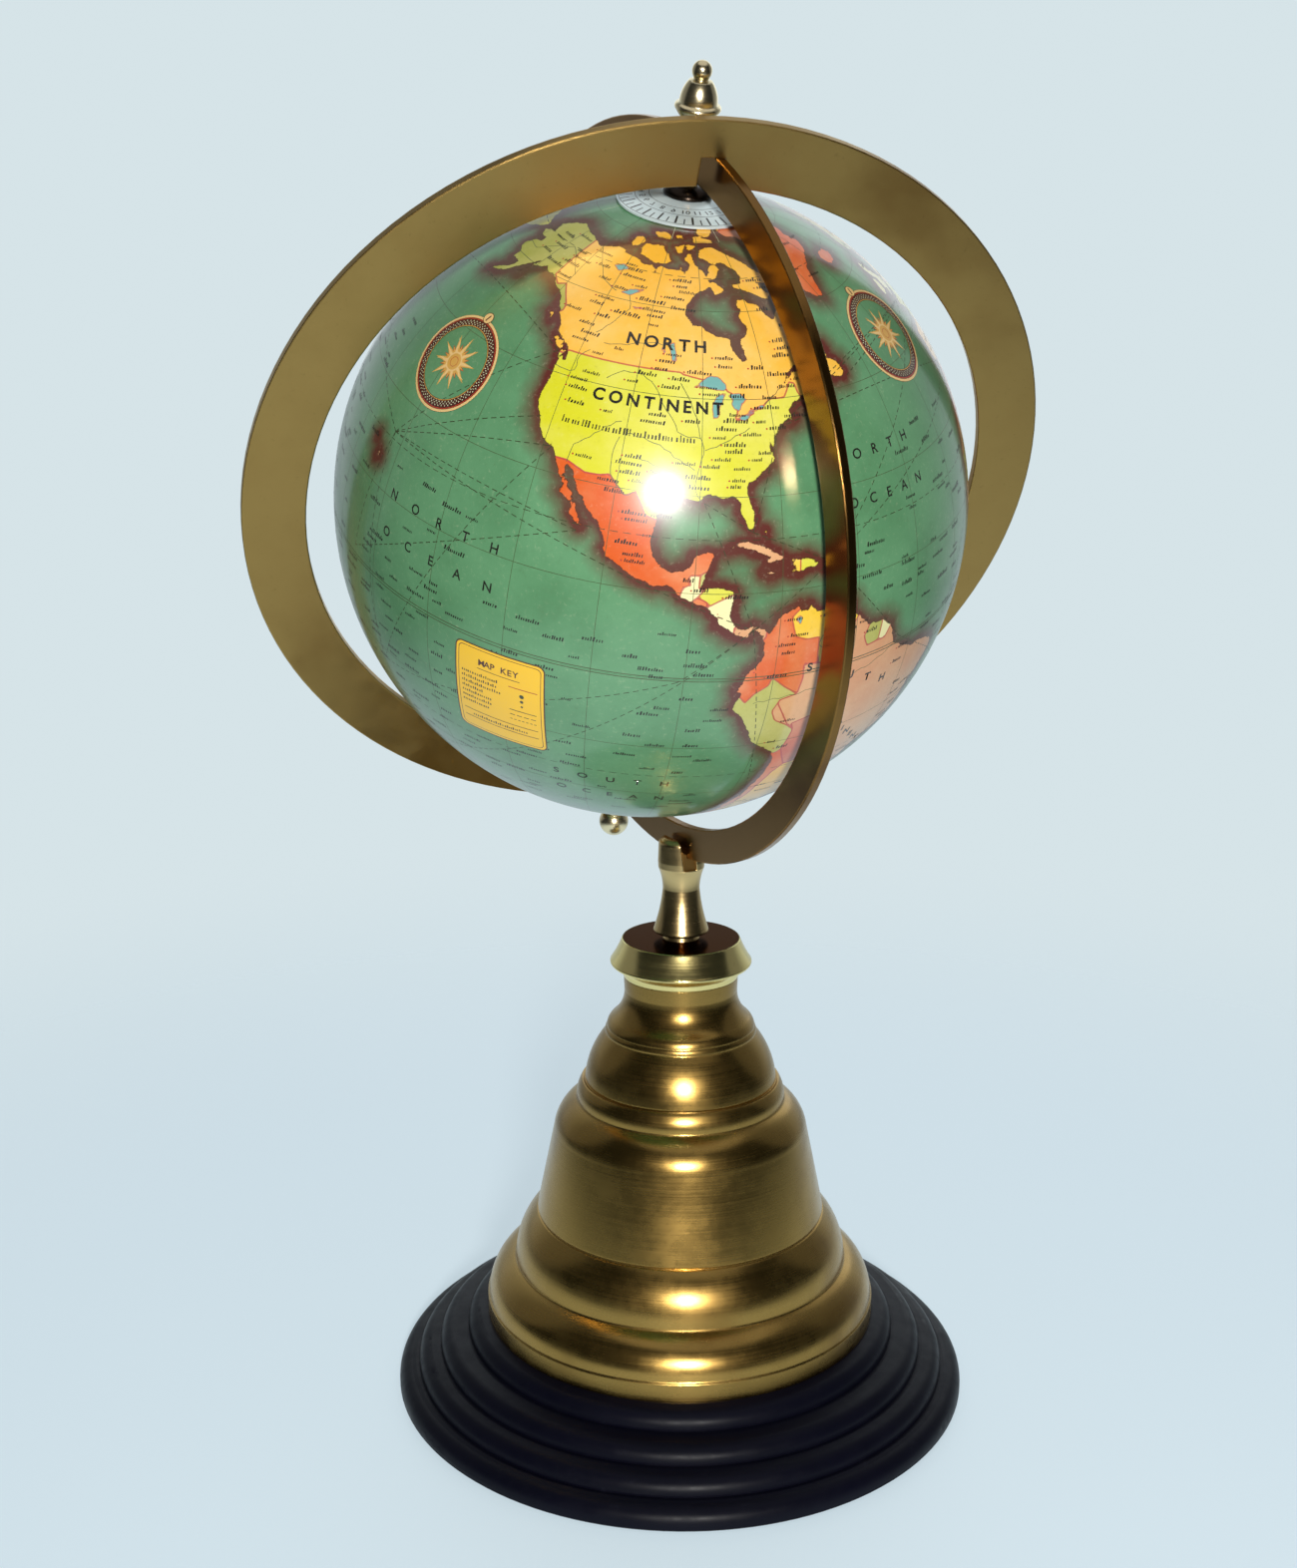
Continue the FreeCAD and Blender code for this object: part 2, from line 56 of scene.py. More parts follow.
# ---------------------------------------------------------------- node trees
class Paint:
    """A material whose nodes are written as short calls."""

    def __init__(self, name):
        self.material = bpy.data.materials.new(name)
        self.material.use_nodes = True
        self.tree = self.material.node_tree
        self.tree.nodes.clear()
        self.shader = self.node("ShaderNodeBsdfPrincipled")
        surface = self.node("ShaderNodeOutputMaterial")
        self.tree.links.new(self.shader.outputs[0], surface.inputs[0])
        self.place = self.node("ShaderNodeTexCoord").outputs["Object"]

    def node(self, kind, **settings):
        """A new node with its own settings."""
        made = self.tree.nodes.new(kind)
        for name, value in settings.items():
            setattr(made, name, value)
        return made

    def feed(self, socket, value):
        """Links a socket to another node's output, or sets its value."""
        if isinstance(value, bpy.types.NodeSocket):
            self.tree.links.new(value, socket)
        elif isinstance(value, tuple) and len(value) == 3 and socket.type == "RGBA":
            socket.default_value = (*value, 1.0)
        else:
            socket.default_value = value

    def set(self, **values):
        """Feeds the shader's own sockets, named with _ for a space."""
        for name, value in values.items():
            self.feed(self.shader.inputs[name.replace("_", " ")], value)

    def math(self, operation, first, second=0.0, clamp=False):
        """One sum over numbers or other nodes' outputs."""
        made = self.node("ShaderNodeMath", operation=operation, use_clamp=clamp)
        self.feed(made.inputs[0], first)
        self.feed(made.inputs[1], second)
        return made.outputs[0]

    def scaled(self, factors):
        """The piece's own coordinates, stretched."""
        made = self.node("ShaderNodeVectorMath", operation="MULTIPLY")
        self.feed(made.inputs[0], self.place)
        made.inputs[1].default_value = factors
        return made.outputs[0]

    def noise(self, scale, detail=3.0, roughness=0.55, distortion=0.0, place=None):
        """Cloudy values around 0.5, over the piece's own coordinates unless told otherwise."""
        made = self.node("ShaderNodeTexNoise")
        self.feed(made.inputs["Vector"], self.place if place is None else place)
        made.inputs["Scale"].default_value = scale
        made.inputs["Detail"].default_value = detail
        made.inputs["Roughness"].default_value = roughness
        made.inputs["Distortion"].default_value = distortion
        return made.outputs["Fac"]

    def streaks(self, stretch, detail=3.0, roughness=0.7):
        """Noise drawn out into lines, by how often it changes along each axis."""
        return self.noise(1.0, detail, roughness, place=self.scaled(stretch))

    def span(self, value, low, high, start=0.0, end=1.0, smooth=True):
        """The value's way from low to high, mapped from start to end."""
        made = self.node("ShaderNodeMapRange")
        made.interpolation_type = "SMOOTHSTEP" if smooth else "LINEAR"
        for socket, given in zip(("Value", "From Min", "From Max", "To Min", "To Max"),
                                 (value, low, high, start, end)):
            self.feed(made.inputs[socket], given)
        return made.outputs["Result"]

    def mix(self, factor, first, second):
        """The first colour at factor 0, the second at 1."""
        made = self.node("ShaderNodeMix", data_type="RGBA")
        self.feed(made.inputs[0], factor)
        self.feed(made.inputs[6], first)
        self.feed(made.inputs[7], second)
        return made.outputs[2]

    def fleck(self, colour, pattern, low, high, amount, other):
        """A colour with some of another where a pattern is high."""
        return self.mix(self.span(pattern, low, high, 0.0, amount), colour, other)

    def bump(self, height, distance, strength=1.0, normal=None):
        """A normal for heights of up to a distance in metres, on top of another normal."""
        made = self.node("ShaderNodeBump")
        made.inputs["Strength"].default_value = strength
        made.inputs["Distance"].default_value = distance
        self.feed(made.inputs["Height"], height)
        if normal is not None:
            self.feed(made.inputs["Normal"], normal)
        return made.outputs["Normal"]

    def edges(self, radius):
        """1 on sharp outer edges and 0 on flat faces, and the normal of a slightly rounded edge."""
        bevel = self.node("ShaderNodeBevel", samples=4)
        bevel.inputs["Radius"].default_value = radius
        facing = self.node("ShaderNodeNewGeometry")
        dot = self.node("ShaderNodeVectorMath", operation="DOT_PRODUCT")
        self.feed(dot.inputs[0], bevel.outputs[0])
        self.feed(dot.inputs[1], facing.outputs["Normal"])
        return self.span(dot.outputs["Value"], 0.985, 0.90), bevel.outputs[0]


def rgb(red, green, blue):
    """Linear colour from screen values of 0 to 255."""

    def linear(value):
        """One channel of 0 to 255 as a linear share."""
        value /= 255.0
        return value / 12.92 if value <= 0.04045 else ((value + 0.055) / 1.055) ** 2.4

    return tuple(linear(value) for value in (red, green, blue))


def dress(material, *names):
    """Gives CAD nodes one material."""
    for name in names:
        mesh = NODES[name].data
        mesh.materials.clear()
        mesh.materials.append(material)


EDGE_RADIUS = 0.6 * MM


def brass(name, bright, aged, roughness, age=0.5, turned=0.0, brushed=0.0, painted_dark_top=False):
    """Satin brass, tarnished in soft patches, with turning or brushing marks, edges lighter as wear and
    painted highlight, and a painted dark reflection on upward faces if asked.
    """
    paint = Paint(name)
    clouds = paint.noise(14.0, 4.0, 0.5, distortion=0.3)
    patches = paint.span(clouds, 0.66 - age * 0.35, 0.90 - age * 0.15)
    colour = paint.mix(patches, bright, aged)
    specks = paint.noise(520.0, 3.0, 0.7)
    colour = paint.fleck(colour, specks, 0.60, 0.80, 0.22, rgb(60, 42, 20))
    # Painted reflection: faces turned upwards get a dark colour and a grey specular tint, standing in
    # for the dark mirror of a polished top.
    if painted_dark_top:
        facing = paint.node("ShaderNodeSeparateXYZ")
        paint.feed(facing.inputs[0], paint.node("ShaderNodeNewGeometry").outputs["Normal"])
        top = paint.span(facing.outputs["Z"], 0.90, 0.97)
        colour = paint.mix(top, colour, rgb(64, 44, 32))
        paint.set(Specular_Tint=paint.mix(top, (1.0, 1.0, 1.0), (0.46, 0.44, 0.43)))
    # Sharp edges are painted lighter: partly wear, partly a painted highlight along the rounded edges.
    worn_and_highlit = tuple(min(1.0, channel * 1.5) for channel in bright)
    edge, rounded = paint.edges(EDGE_RADIUS)
    colour = paint.mix(paint.math("MULTIPLY", edge, 0.7), colour, worn_and_highlit)
    smear = paint.noise(60.0, 4.0, 0.65)
    shine = paint.span(smear, 0.3, 0.75, roughness * 0.85, roughness * 1.2)
    shine = paint.math("ADD", shine, paint.math("MULTIPLY", patches, 0.04))
    grain = paint.noise(2200.0, 2.0, 0.6)
    normal = paint.bump(grain, 0.00002, 0.22, rounded)
    if turned:
        rings = paint.streaks((18.0, 18.0, 2600.0))
        normal = paint.bump(rings, 0.00004, turned, normal)
        shine = paint.math("ADD", shine, paint.span(rings, 0.3, 0.7, -0.02, 0.03))
    if brushed:
        hairs = paint.streaks((2200.0, 300.0, 2200.0))
        normal = paint.bump(hairs, 0.00003, brushed, normal)
    paint.set(Base_Color=colour, Metallic=1.0, Roughness=shine, Normal=normal)
    return paint.material


def lacquered_wood():
    """Black lacquer over turned wood, dusty in random flecks, with faint lathe rings."""
    paint = Paint("black_lacquer")
    grain = paint.streaks((14.0, 90.0, 60.0), 4.0, 0.6)
    base = paint.mix(grain, rgb(5, 6, 15), rgb(11, 11, 24))
    dust = paint.noise(160.0, 5.0, 0.7)
    base = paint.fleck(base, dust, 0.60, 0.80, 0.08, rgb(70, 72, 92))
    rings = paint.streaks((6.0, 6.0, 900.0), 2.0, 0.5)
    normal = paint.bump(rings, 0.00008, 0.35)
    normal = paint.bump(paint.noise(500.0, 2.0), 0.00003, 0.3, normal)
    paint.set(Base_Color=base, Roughness=paint.span(dust, 0.3, 0.8, 0.36, 0.5), Normal=normal,
              Specular_IOR_Level=0.1)
    return paint.material


def plain_steel():
    """Drawn steel for the rods, nuts and washers."""
    paint = Paint("plain_steel")
    lines = paint.streaks((1200.0, 1200.0, 200.0), 3.0, 0.6)
    colour = paint.mix(paint.noise(80.0, 4.0), rgb(128, 127, 124), rgb(168, 168, 166))
    paint.set(Base_Color=colour, Metallic=1.0, Roughness=paint.span(lines, 0.3, 0.7, 0.26, 0.42),
              Normal=paint.bump(lines, 0.00003, 0.4))
    return paint.material


def grainy(name, dark, light, pattern, relief, stretch=None, **surface):
    """A plain matt material whose grain shows in its colour and in its relief."""
    paint = Paint(name)
    grain = paint.noise(*pattern, place=paint.scaled(stretch) if stretch else None)
    paint.set(Base_Color=paint.mix(grain, dark, light), Normal=paint.bump(grain, *relief), **surface)
    return paint.material


def silvered_dial():
    """Silver-white lacquer on the hour dial, cloudy and a little worn."""
    paint = Paint("silvered_dial")
    clouds = paint.noise(90.0, 5.0, 0.6)
    colour = paint.mix(clouds, rgb(206, 226, 230), rgb(242, 254, 254))
    specks = paint.noise(900.0, 3.0, 0.7)
    colour = paint.fleck(colour, specks, 0.63, 0.8, 0.5, rgb(110, 108, 100))
    paint.set(Base_Color=colour, Metallic=0.35, Roughness=paint.span(clouds, 0.3, 0.7, 0.28, 0.42),
              Normal=paint.bump(clouds, 0.0001, 0.15), Coat_Weight=0.3, Coat_Roughness=0.15)
    return paint.material


ring_brass = brass("ring_brass", rgb(168, 137, 79), rgb(122, 91, 47), 0.33, age=0.35, brushed=0.2)
meridian_brass = brass("meridian_brass", rgb(140, 104, 55), rgb(90, 57, 26), 0.22, age=0.5,
                       brushed=0.15)
bell_brass = brass("bell_brass", rgb(166, 134, 73), rgb(98, 69, 33), 0.26, age=0.5, turned=0.14)
# The collar's faces turned upwards carry a painted dark reflection.
collar_brass = brass("collar_brass", rgb(246, 226, 152), rgb(180, 146, 86), 0.2, age=0.3, turned=0.12,
                     painted_dark_top=True)
stem_brass = brass("stem_brass", rgb(214, 186, 130), rgb(158, 122, 72), 0.24, age=0.4, turned=0.1)
bright_brass = brass("bright_brass", rgb(250, 232, 188), rgb(200, 172, 122), 0.24, age=0.3, turned=0.1)
dark_brass = brass("dark_brass", rgb(46, 38, 32), rgb(22, 18, 16), 0.24, age=0.6, turned=0.2)
filler_brass = brass("filler_brass", rgb(150, 112, 60), rgb(84, 58, 30), 0.42, age=0.7)
green_felt = grainy("green_felt", rgb(18, 38, 26), rgb(44, 78, 54), (1400.0, 4.0, 0.8, 1.2),
                    (0.0003, 0.8), Roughness=0.95, Sheen_Weight=0.4, Sheen_Roughness=0.5)
bare_wood = grainy("bare_wood", rgb(120, 84, 48), rgb(166, 124, 78), (1.0, 4.0, 0.6),
                   (0.00005, 0.5), (500.0, 90.0, 90.0), Roughness=0.6)
bare_card = grainy("bare_card", rgb(150, 128, 92), rgb(186, 164, 124), (700.0, 4.0, 0.7),
                   (0.00008, 0.4), Roughness=0.85)

dress(ring_brass, "outer_ring")
dress(meridian_brass, "meridian_ring")
dress(bell_brass, "bell_body")
dress(collar_brass, "bell_collar")
dress(stem_brass, "stem")
dress(bright_brass, "north_finial", "south_ball_nut", "north_lock_nut",
      "south_lock_nut", "north_washer", "south_spacer")
dress(dark_brass, "pole_cap")
dress(filler_brass, "braze_fillet")
dress(plain_steel(), "tie_rod", "tie_washer", "tie_nut", "axis_rod")
dress(lacquered_wood(), "plinth")
dress(green_felt, "felt_pad")
dress(bare_wood, "north_bush", "south_bush")
dress(bare_card, "equator_band")
dress(silvered_dial(), "hour_dial")

# ---------------------------------------------------------------- map outlines
# Every point is a longitude,latitude pair in degrees, east and north positive.
def outlines(text):
    """Pairs of a name and its rows of longitude and latitude, from a text of names and points."""
    found = []
    for word in text.split():
        if "," in word:
            found[-1][1].append([float(number) for number in word.split(",")])
        else:
            found.append((word, []))
    return [(name, np.array(points)) for name, points in found]


LAND = outlines("""
north_america -168,65.6 -164,66.5 -161.8,66.3 -163.6,67.1 -166.6,68.3 -163,69.5 -160,70.6 -156.5,71.3
  -152,70.9 -145,70.1 -141,69.6 -136,68.9 -133,69.5 -128,70.3 -124.5,70.1 -124,69.4 -119,69.1
  -115.2,68.8 -115,68.1 -110,67.9 -108,67.4 -107.9,66.5 -106.8,68.3 -103,67.8 -98.5,67.8 -97.5,68.5
  -96,67.3 -94.3,68.2 -94.2,69.3 -96.3,70.4 -95.5,71.9 -93.6,71.8 -92,70.2 -91.6,69.6 -90.2,68.5
  -88.4,68.2 -87.3,67.2 -86,67.9 -85.4,69.3 -82,69.7 -81.3,68.6 -82.2,67.1 -84.6,66.2 -86.8,66.4
  -86,65.4 -88,64.2 -90.5,63.7 -93,62.4 -94.6,60.5 -94.8,59 -92.6,57.2 -90,57 -87.5,56.1 -85,55.3
  -82.3,55.1 -82.2,53 -81,52 -79.9,51.3 -78.8,51.5 -79,53.4 -79.7,54.7 -77.6,55.6 -76.6,57.1 -78.5,58.7
  -77.4,60 -78,61.2 -78,62.3 -75,62.3 -73.4,61.6 -70.5,61 -69.6,59.3 -67.5,58.3 -65.6,59.5 -64.5,60.3
  -63.4,58.8 -61.8,57.2 -60.6,55.4 -58,54.4 -55.9,52.8 -55.9,51.8 -58.5,51.2 -60.2,50.2 -64,50.3
  -66.8,50 -68.4,49.1 -69.8,48 -71,46.9 -69.5,47.7 -67,49 -64.4,49 -65,47.9 -64.9,46.7 -64,46 -61.4,46.2
  -60,46.6 -60.5,45.6 -63.5,44.6 -65.6,43.5 -66.2,44.2 -64.6,45.3 -66.6,45.1 -68.2,44.3 -70,43.8
  -70.8,42.8 -70.6,41.9 -69.9,41.8 -71.3,41.4 -73.7,40.8 -74,40.2 -74.6,39.2 -75.4,39.4 -75.1,38.3
  -75.9,37.1 -76.4,38.9 -76.3,37 -75.9,36 -75.6,35.3 -76.9,34.6 -78,33.9 -79.3,33.1 -81,32 -81.4,30.5
  -80.6,28.4 -80,26.8 -80.3,25.3 -81.1,25.2 -81.9,26.4 -82.8,27.8 -82.7,29 -84,30.1 -85.4,29.7
  -87.5,30.3 -89.3,30.3 -89.4,29.1 -91,29.2 -92.3,29.6 -94.6,29.4 -96.4,28.4 -97.3,27.2 -97.2,25.8
  -97.8,22.5 -97.1,20.6 -96.1,19.2 -94.5,18.1 -92,18.6 -90.8,19.1 -90.4,20.9 -88.2,21.6 -86.9,21.4
  -87.6,19.7 -88.2,18.2 -88.8,15.9 -87.6,15.8 -85.8,15.9 -83.8,15.5 -83.2,14.9 -83.6,12.5 -83.7,11
  -82.4,9.3 -81.3,8.8 -79.8,9.5 -78.4,9.4 -77.2,8.4 -77.4,7.3 -78.4,8.2 -79.6,8.9 -80.4,8.2 -80.2,7.4
  -81.8,8 -83.4,8.6 -84.9,9.8 -85.8,10.2 -85.8,11.1 -87.6,12.9 -89.5,13.4 -92.2,14.5 -94.4,16.2
  -96.5,15.7 -99.6,16.7 -102,18 -104.4,19.1 -105.6,20.4 -105.4,21.8 -107,24.2 -109.2,25.8 -110.6,27.6
  -112.2,29 -113.1,31.2 -114.7,31.7 -114.6,30 -112.8,28.2 -111.4,26 -110.3,24.2 -109.4,23.2 -110.1,22.9
  -112.2,24.8 -112.2,26.1 -114.9,27.8 -114.3,28.8 -115.8,30.3 -117.1,32.5 -118.4,34 -120.6,34.6
  -121.9,36.6 -123.8,39.2 -124.4,40.4 -124.1,43 -123.9,46.2 -124.7,48.3 -122.6,47.3 -122.8,49.1
  -125.2,50.4 -127.6,51.2 -128,52.5 -130.1,54.2 -131.6,55.3 -133.6,57.3 -136.5,58.2 -139.7,59.6 -144,60
  -146.6,60.9 -148.5,60 -151.8,59.2 -150.6,61.1 -153.4,59.5 -156.3,57.5 -158.6,56 -162,55 -164.8,54.5
  -161.8,55.9 -158.8,57 -157.5,58.7 -162,58.6 -162,59.9 -165.2,60.8 -166,61.8 -164.6,63 -161,63.7
  -161.2,64.6 -166.2,64.6
baffin -64.6,63 -66,61.9 -69,62.5 -72,63.7 -74.6,64.4 -78,64.5 -77.6,65.4 -74,65.4 -73,67.1 -74.8,68.4
  -78.6,69.9 -84.6,70 -89.3,71 -89.4,72.8 -85.2,73.7 -81,73.6 -77.4,72.7 -73.4,71.5 -69,70.1 -67,69
  -64,67.4 -61.6,66.6 -63.6,65.1 -67.4,65.6 -66.2,64.2
victoria -117,69.9 -113.6,69.2 -109,68.7 -104,68.9 -101.7,69.7 -105,71.4 -108,73 -112,72.8 -117.4,72.7
  -118.2,71.2
banks -125,71.9 -123,71.2 -120.4,71.8 -117.6,73.4 -121,74.3 -124.4,74.2
ellesmere -90,76.6 -82,76.3 -78.4,77.2 -75.6,78.5 -66,80.5 -62,82.3 -70,83 -80,82.8 -91,81.7 -87,79.8
devon -92,76.6 -80.4,75.6 -80,74.7 -91.6,74.8
somerset -95.4,74 -90.6,73.8 -92.6,72.8 -95.4,72.6
wales -102.4,73 -97.4,73.7 -96.8,71.7 -100,71.8
melville -117,76.2 -109,76.6 -105.4,75.7 -106,74.9 -114,74.7
bathurst -104,76.3 -98,76.4 -97.6,75.2 -101.6,75.4
heiberg -95.4,80.8 -90.6,81 -88,79.1 -92.8,78.4
southampton -87,65.5 -84,65.9 -80.4,63.9 -85,63.1
newfoundland -59.2,47.7 -57.6,50.4 -55.6,51.5 -56,50 -53.7,49.2 -52.8,47.5 -53.6,46.7 -55.8,46.9
vancouver -123.5,48.4 -125.4,48.8 -128.2,50.7 -125.2,50
haida -131.9,54 -133.1,54 -131.3,52.3
kodiak -154.6,57.3 -152.4,58.3 -152.3,57.3
hawaii -156,19 -154.9,19.5 -155.8,20.3
oahu -158.2,21.3 -157.6,21.3 -157.8,21.8
cuba -84.9,21.9 -83,23 -80.5,23.1 -77.4,21.9 -74.3,20.2 -77.7,19.9 -77.3,20.7 -80,21.7 -82.4,22.6
hispaniola -74.4,18.4 -72.6,18.6 -73.3,19.9 -70,19.8 -68.4,18.6 -70.6,18.3 -71.6,17.7
jamaica -78.3,18.4 -76.3,18.1 -77.2,17.8
puerto_rico -67.2,18 -67.1,18.5 -65.7,18.4 -65.8,18
andros -78.4,25 -77.8,24.7 -77.8,24 -78.1,24.2
trinidad -61.9,10.1 -61,10.1 -61,10.8 -61.7,10.7
greenland -73,78.2 -66,79.7 -60,82 -45,82.7 -32,83.5 -22,82.4 -13,81.4 -18,80 -19.4,76.5 -21.5,74
  -24,72.6 -22,70.5 -27,68.4 -33,67 -38,65.6 -41,63.2 -43,60.1 -46,60.6 -51,63 -53.6,66.5 -53.4,68.6
  -51.6,69.8 -54.8,71.5 -57.6,74 -62,76 -69,76.2
iceland -24,65.4 -22,66.4 -16,66.4 -13.8,65 -18.6,63.4 -22.5,63.9
south_america -77.4,8.6 -76.8,8 -75.6,9.7 -75.4,10.7 -74.2,11.3 -72.4,11.9 -71.6,12.4 -71.4,11.2
  -70.2,11.5 -69.8,12.1 -68.2,10.7 -66,10.6 -64.4,10.2 -62,10.7 -61.8,9.8 -60,8.5 -58.5,7.2 -57,6
  -54,5.9 -51.7,4.4 -50.7,2 -50,0.2 -48.5,-0.6 -44.4,-2.7 -41.5,-2.9 -38.5,-3.7 -35.3,-5.3 -34.8,-7.5
  -37.2,-11.5 -39,-13 -39.2,-17 -40.5,-20.5 -42,-22.9 -46.3,-24 -48.6,-26 -48.7,-28.5 -52,-32.4
  -53.6,-34 -55,-34.9 -58.3,-34.1 -57.3,-35.6 -57.6,-38 -62,-39 -62.4,-40.8 -65,-41 -63.8,-42.5
  -65.4,-44.6 -67.4,-46.2 -65.9,-47.6 -67.8,-50 -69,-51.5 -68.2,-52.8 -65.2,-54.7 -68.5,-55.5 -72,-54.2
  -74.5,-52 -75.3,-49 -74.6,-46 -73,-42 -73.6,-39.5 -73.2,-36.8 -71.6,-33.5 -71.5,-30 -70.5,-25.5
  -70.2,-20 -71.5,-17.5 -75.2,-15.3 -76.3,-13.8 -77.5,-11.5 -79.7,-7.2 -81.2,-5.9 -80.4,-3.4 -80.2,-2.7
  -81,-2.2 -80.2,0 -79,1.6 -77.3,3.8 -77.5,6.6 -77.9,7.2
falklands -61,-51.9 -59,-51.3 -57.8,-51.7 -60,-52.2
africa -5.9,35.8 -2,35.1 3,36.8 9.8,37.3 11,36.9 10.1,34.3 11.2,33.2 15.2,32.3 19,30.3 20.1,32.1 23,32.6
  25.4,31.6 29,30.9 32.3,31.3 34.2,31.3 34.9,29.5 34.2,27.8 32.6,29.8 33.7,27.6 35.5,24 37.2,21
  37.5,18.6 39.4,15.6 43.1,12.5 43.4,11.5 45,10.5 51.2,11.9 50.6,9.3 48,4.5 44,1 41.5,-1.7 39.4,-4.6
  39,-6.9 40.5,-10.5 40.6,-15 37,-17.8 34.8,-20 35.5,-23.8 32.9,-25.8 32.7,-28.2 31,-30 28,-33 25.7,-34
  20,-34.8 18.4,-34 18,-31.5 15.2,-27 14.4,-22.5 11.8,-17.5 13.6,-12 13,-8.8 12,-5.2 9,-1 9.6,3.6
  8.4,4.6 6,4.3 4.4,6.3 2,6.2 -2,4.8 -4.5,5.2 -7.6,4.4 -11,6.7 -13.2,8.9 -15,11 -16.8,12.5 -17.4,14.7
  -16.2,16.8 -16.2,19.5 -17,21 -14.6,26 -12.8,28 -9.8,29.8 -9.5,31.6 -6.8,34
madagascar 49.3,-12 50.4,-15.8 47.1,-25 44,-25 43.3,-22 44.4,-19.6 44.4,-16.3 47,-15.3
eurasia -9,37 -9.4,38.8 -8.8,41.5 -9.2,43.2 -1.8,43.4 -1.2,46 -4.7,48.3 -1.6,48.7 1.5,50.3 4.8,53 8,53.6
  8.1,57 10.6,57.7 10.2,55 12.5,54.4 18.6,54.7 21,55.3 21.6,57.5 24.2,57.4 23.5,59.2 28,59.6 30,60
  22.9,60 21.3,61.5 25.3,65 22,65.7 17.4,62.4 17.2,60.6 18.8,59.8 16.5,57.4 16,56.2 14.2,55.4 12.8,55.6
  11.3,59 8,58.1 5.3,59.2 5,61.9 10.5,64.2 14.5,68 19,70 25.7,71 33,69.4 41,67.7 40.4,66.4 33,66.7
  35,64.4 38,64 40.4,64.8 44,66.2 44,68.3 54,68.4 60.5,69.6 67.6,68.5 67,71.6 72.6,72.7 74,68.4 80,72.2
  81,73.6 87,75 98,76.2 104.5,77.6 112,74 127,73.2 130,71.2 139.5,72.2 150,71.5 160,69.8 170,69.6 180,69
  189.8,66.2 186,64.6 179.5,62.5 171,60 163.6,59.6 162.4,56.1 159.8,53 156.8,51.1 155.8,55 162.6,61.6
  160,61.7 154.6,59.4 143,59.3 136.8,54.7 141,53 140.3,48.5 135.3,44.3 131.5,43 128,39.8 129.4,36
  126.5,34.5 126.6,37.4 124.8,39.7 121.5,39.2 121.6,40.8 118,39 119,37.3 122.5,37.1 119.5,35 121.8,31.5
  121.4,28.5 119,25.5 116.5,23 110.5,21.2 108.2,21.6 105.8,19 108.8,15.5 109.2,12 106.7,10.4 104.8,8.7
  105,10.3 102.4,12 100.8,13.4 99.4,9.3 100.6,7 103.4,4 104.2,1.4 101.3,2.9 98.4,8 98.6,10.5 97.6,16
  95.3,15.8 94.4,18.5 91.8,22.4 88.5,21.7 86.6,20.2 82.3,16.7 80.2,15.3 79.8,10.3 77.6,8.1 76.3,10
  74.6,14 72.8,19.2 72.7,21 70.6,20.9 69,22.3 66.7,25.2 57.2,25.7 56.8,27.1 54,26.6 50,30 48,30
  48.4,28.4 50.2,26.5 51.5,24.6 54,24.1 56.3,26.2 56.6,24.4 59.8,22.5 57.8,19 55.2,17.5 52,15.6 45,12.8
  43.3,12.7 42.7,16.5 39.1,21.2 37.2,24.8 34.9,28 34.9,29.5 34.2,31.3 35.8,34.8 36,36.5 32.5,36.1
  30.5,36.6 27.3,36.8 26.5,39.4 29,40.9 31.5,41.3 35,42 38.5,41 41.5,41.5 38.6,44.4 37.3,45.4 39.3,47.2
  35,46.2 36.4,45.3 33.6,44.5 33,46 30.8,46.5 28.6,43.8 28.2,41.6 26.4,40.6 23.6,40.4 24,37.8 22.8,36.5
  21.3,37.8 19.4,41.5 15.2,44.3 13.6,45.6 12.3,45.2 13.6,43.6 16,41.7 18.5,40.1 16.9,40.5 16,38 15.6,40
  12.4,41.7 10.3,43.8 8.8,44.4 6.5,43.1 3.2,43.2 0.4,40.4 -0.3,38.7 -2,36.8 -5.4,36.1
britain -5.5,50.1 1.3,51.2 1.6,52.8 -0.2,53.9 -1.8,55.6 -3,56 -1.9,57.5 -3.6,57.7 -3.2,58.6 -5,58.5
  -6,56.5 -4.9,54.8 -3,54 -4.4,53.2 -4.3,52.2 -5.1,51.8 -3,51.4
ireland -10,52 -6.4,52.2 -5.6,54.5 -7.3,55.3 -10,54.2
svalbard 11,79.5 20,80.3 27,79.8 17,76.7
novaya 52,71.3 57.4,70.7 59,73.6 68.5,76.7 61,76 54,73.5
sicily 12.5,37.8 15.5,38.2 15.1,36.8
sardinia 8.3,39 8.3,41 9.4,42.9 9.7,41 9.5,39.2
crete 23.6,35.3 26.2,35.3 25,34.9
cyprus 32.3,34.9 34.4,35.6 33.4,34.6
honshu 130.2,31.3 131.6,33.2 135.6,33.5 138.8,34.7 140.8,35.6 141,38 141.8,40.4 140.2,41.2 139.6,38.6
  136.8,37 132.8,35.5 130.8,34.2 129.8,33
hokkaido 140,42 143.2,42 145.5,43.3 142,45.4 141.4,43.3
sakhalin 142,46 143.4,49 143.2,52 142.6,54.2 142,51
taiwan 120.1,23 121,22 121.9,25
hainan 108.7,19.2 110.4,18.6 110.8,20
ceylon 79.9,7 80.6,6 81.8,7.3 80.2,9.7
sumatra 95.3,5.6 98.7,3.4 103.8,-0.6 106,-3 105.8,-5.8 102,-3.8 98.8,0.4
java 105.3,-6.8 110.8,-6.5 114.5,-7.8 114.4,-8.6 108,-7.8
borneo 109,1.5 111.6,2.6 113.5,3.3 117,7 119.2,5.2 117.8,3 118.9,1 116.5,-1.4 116,-3.8 114.5,-4
  110.2,-2.8 109,0
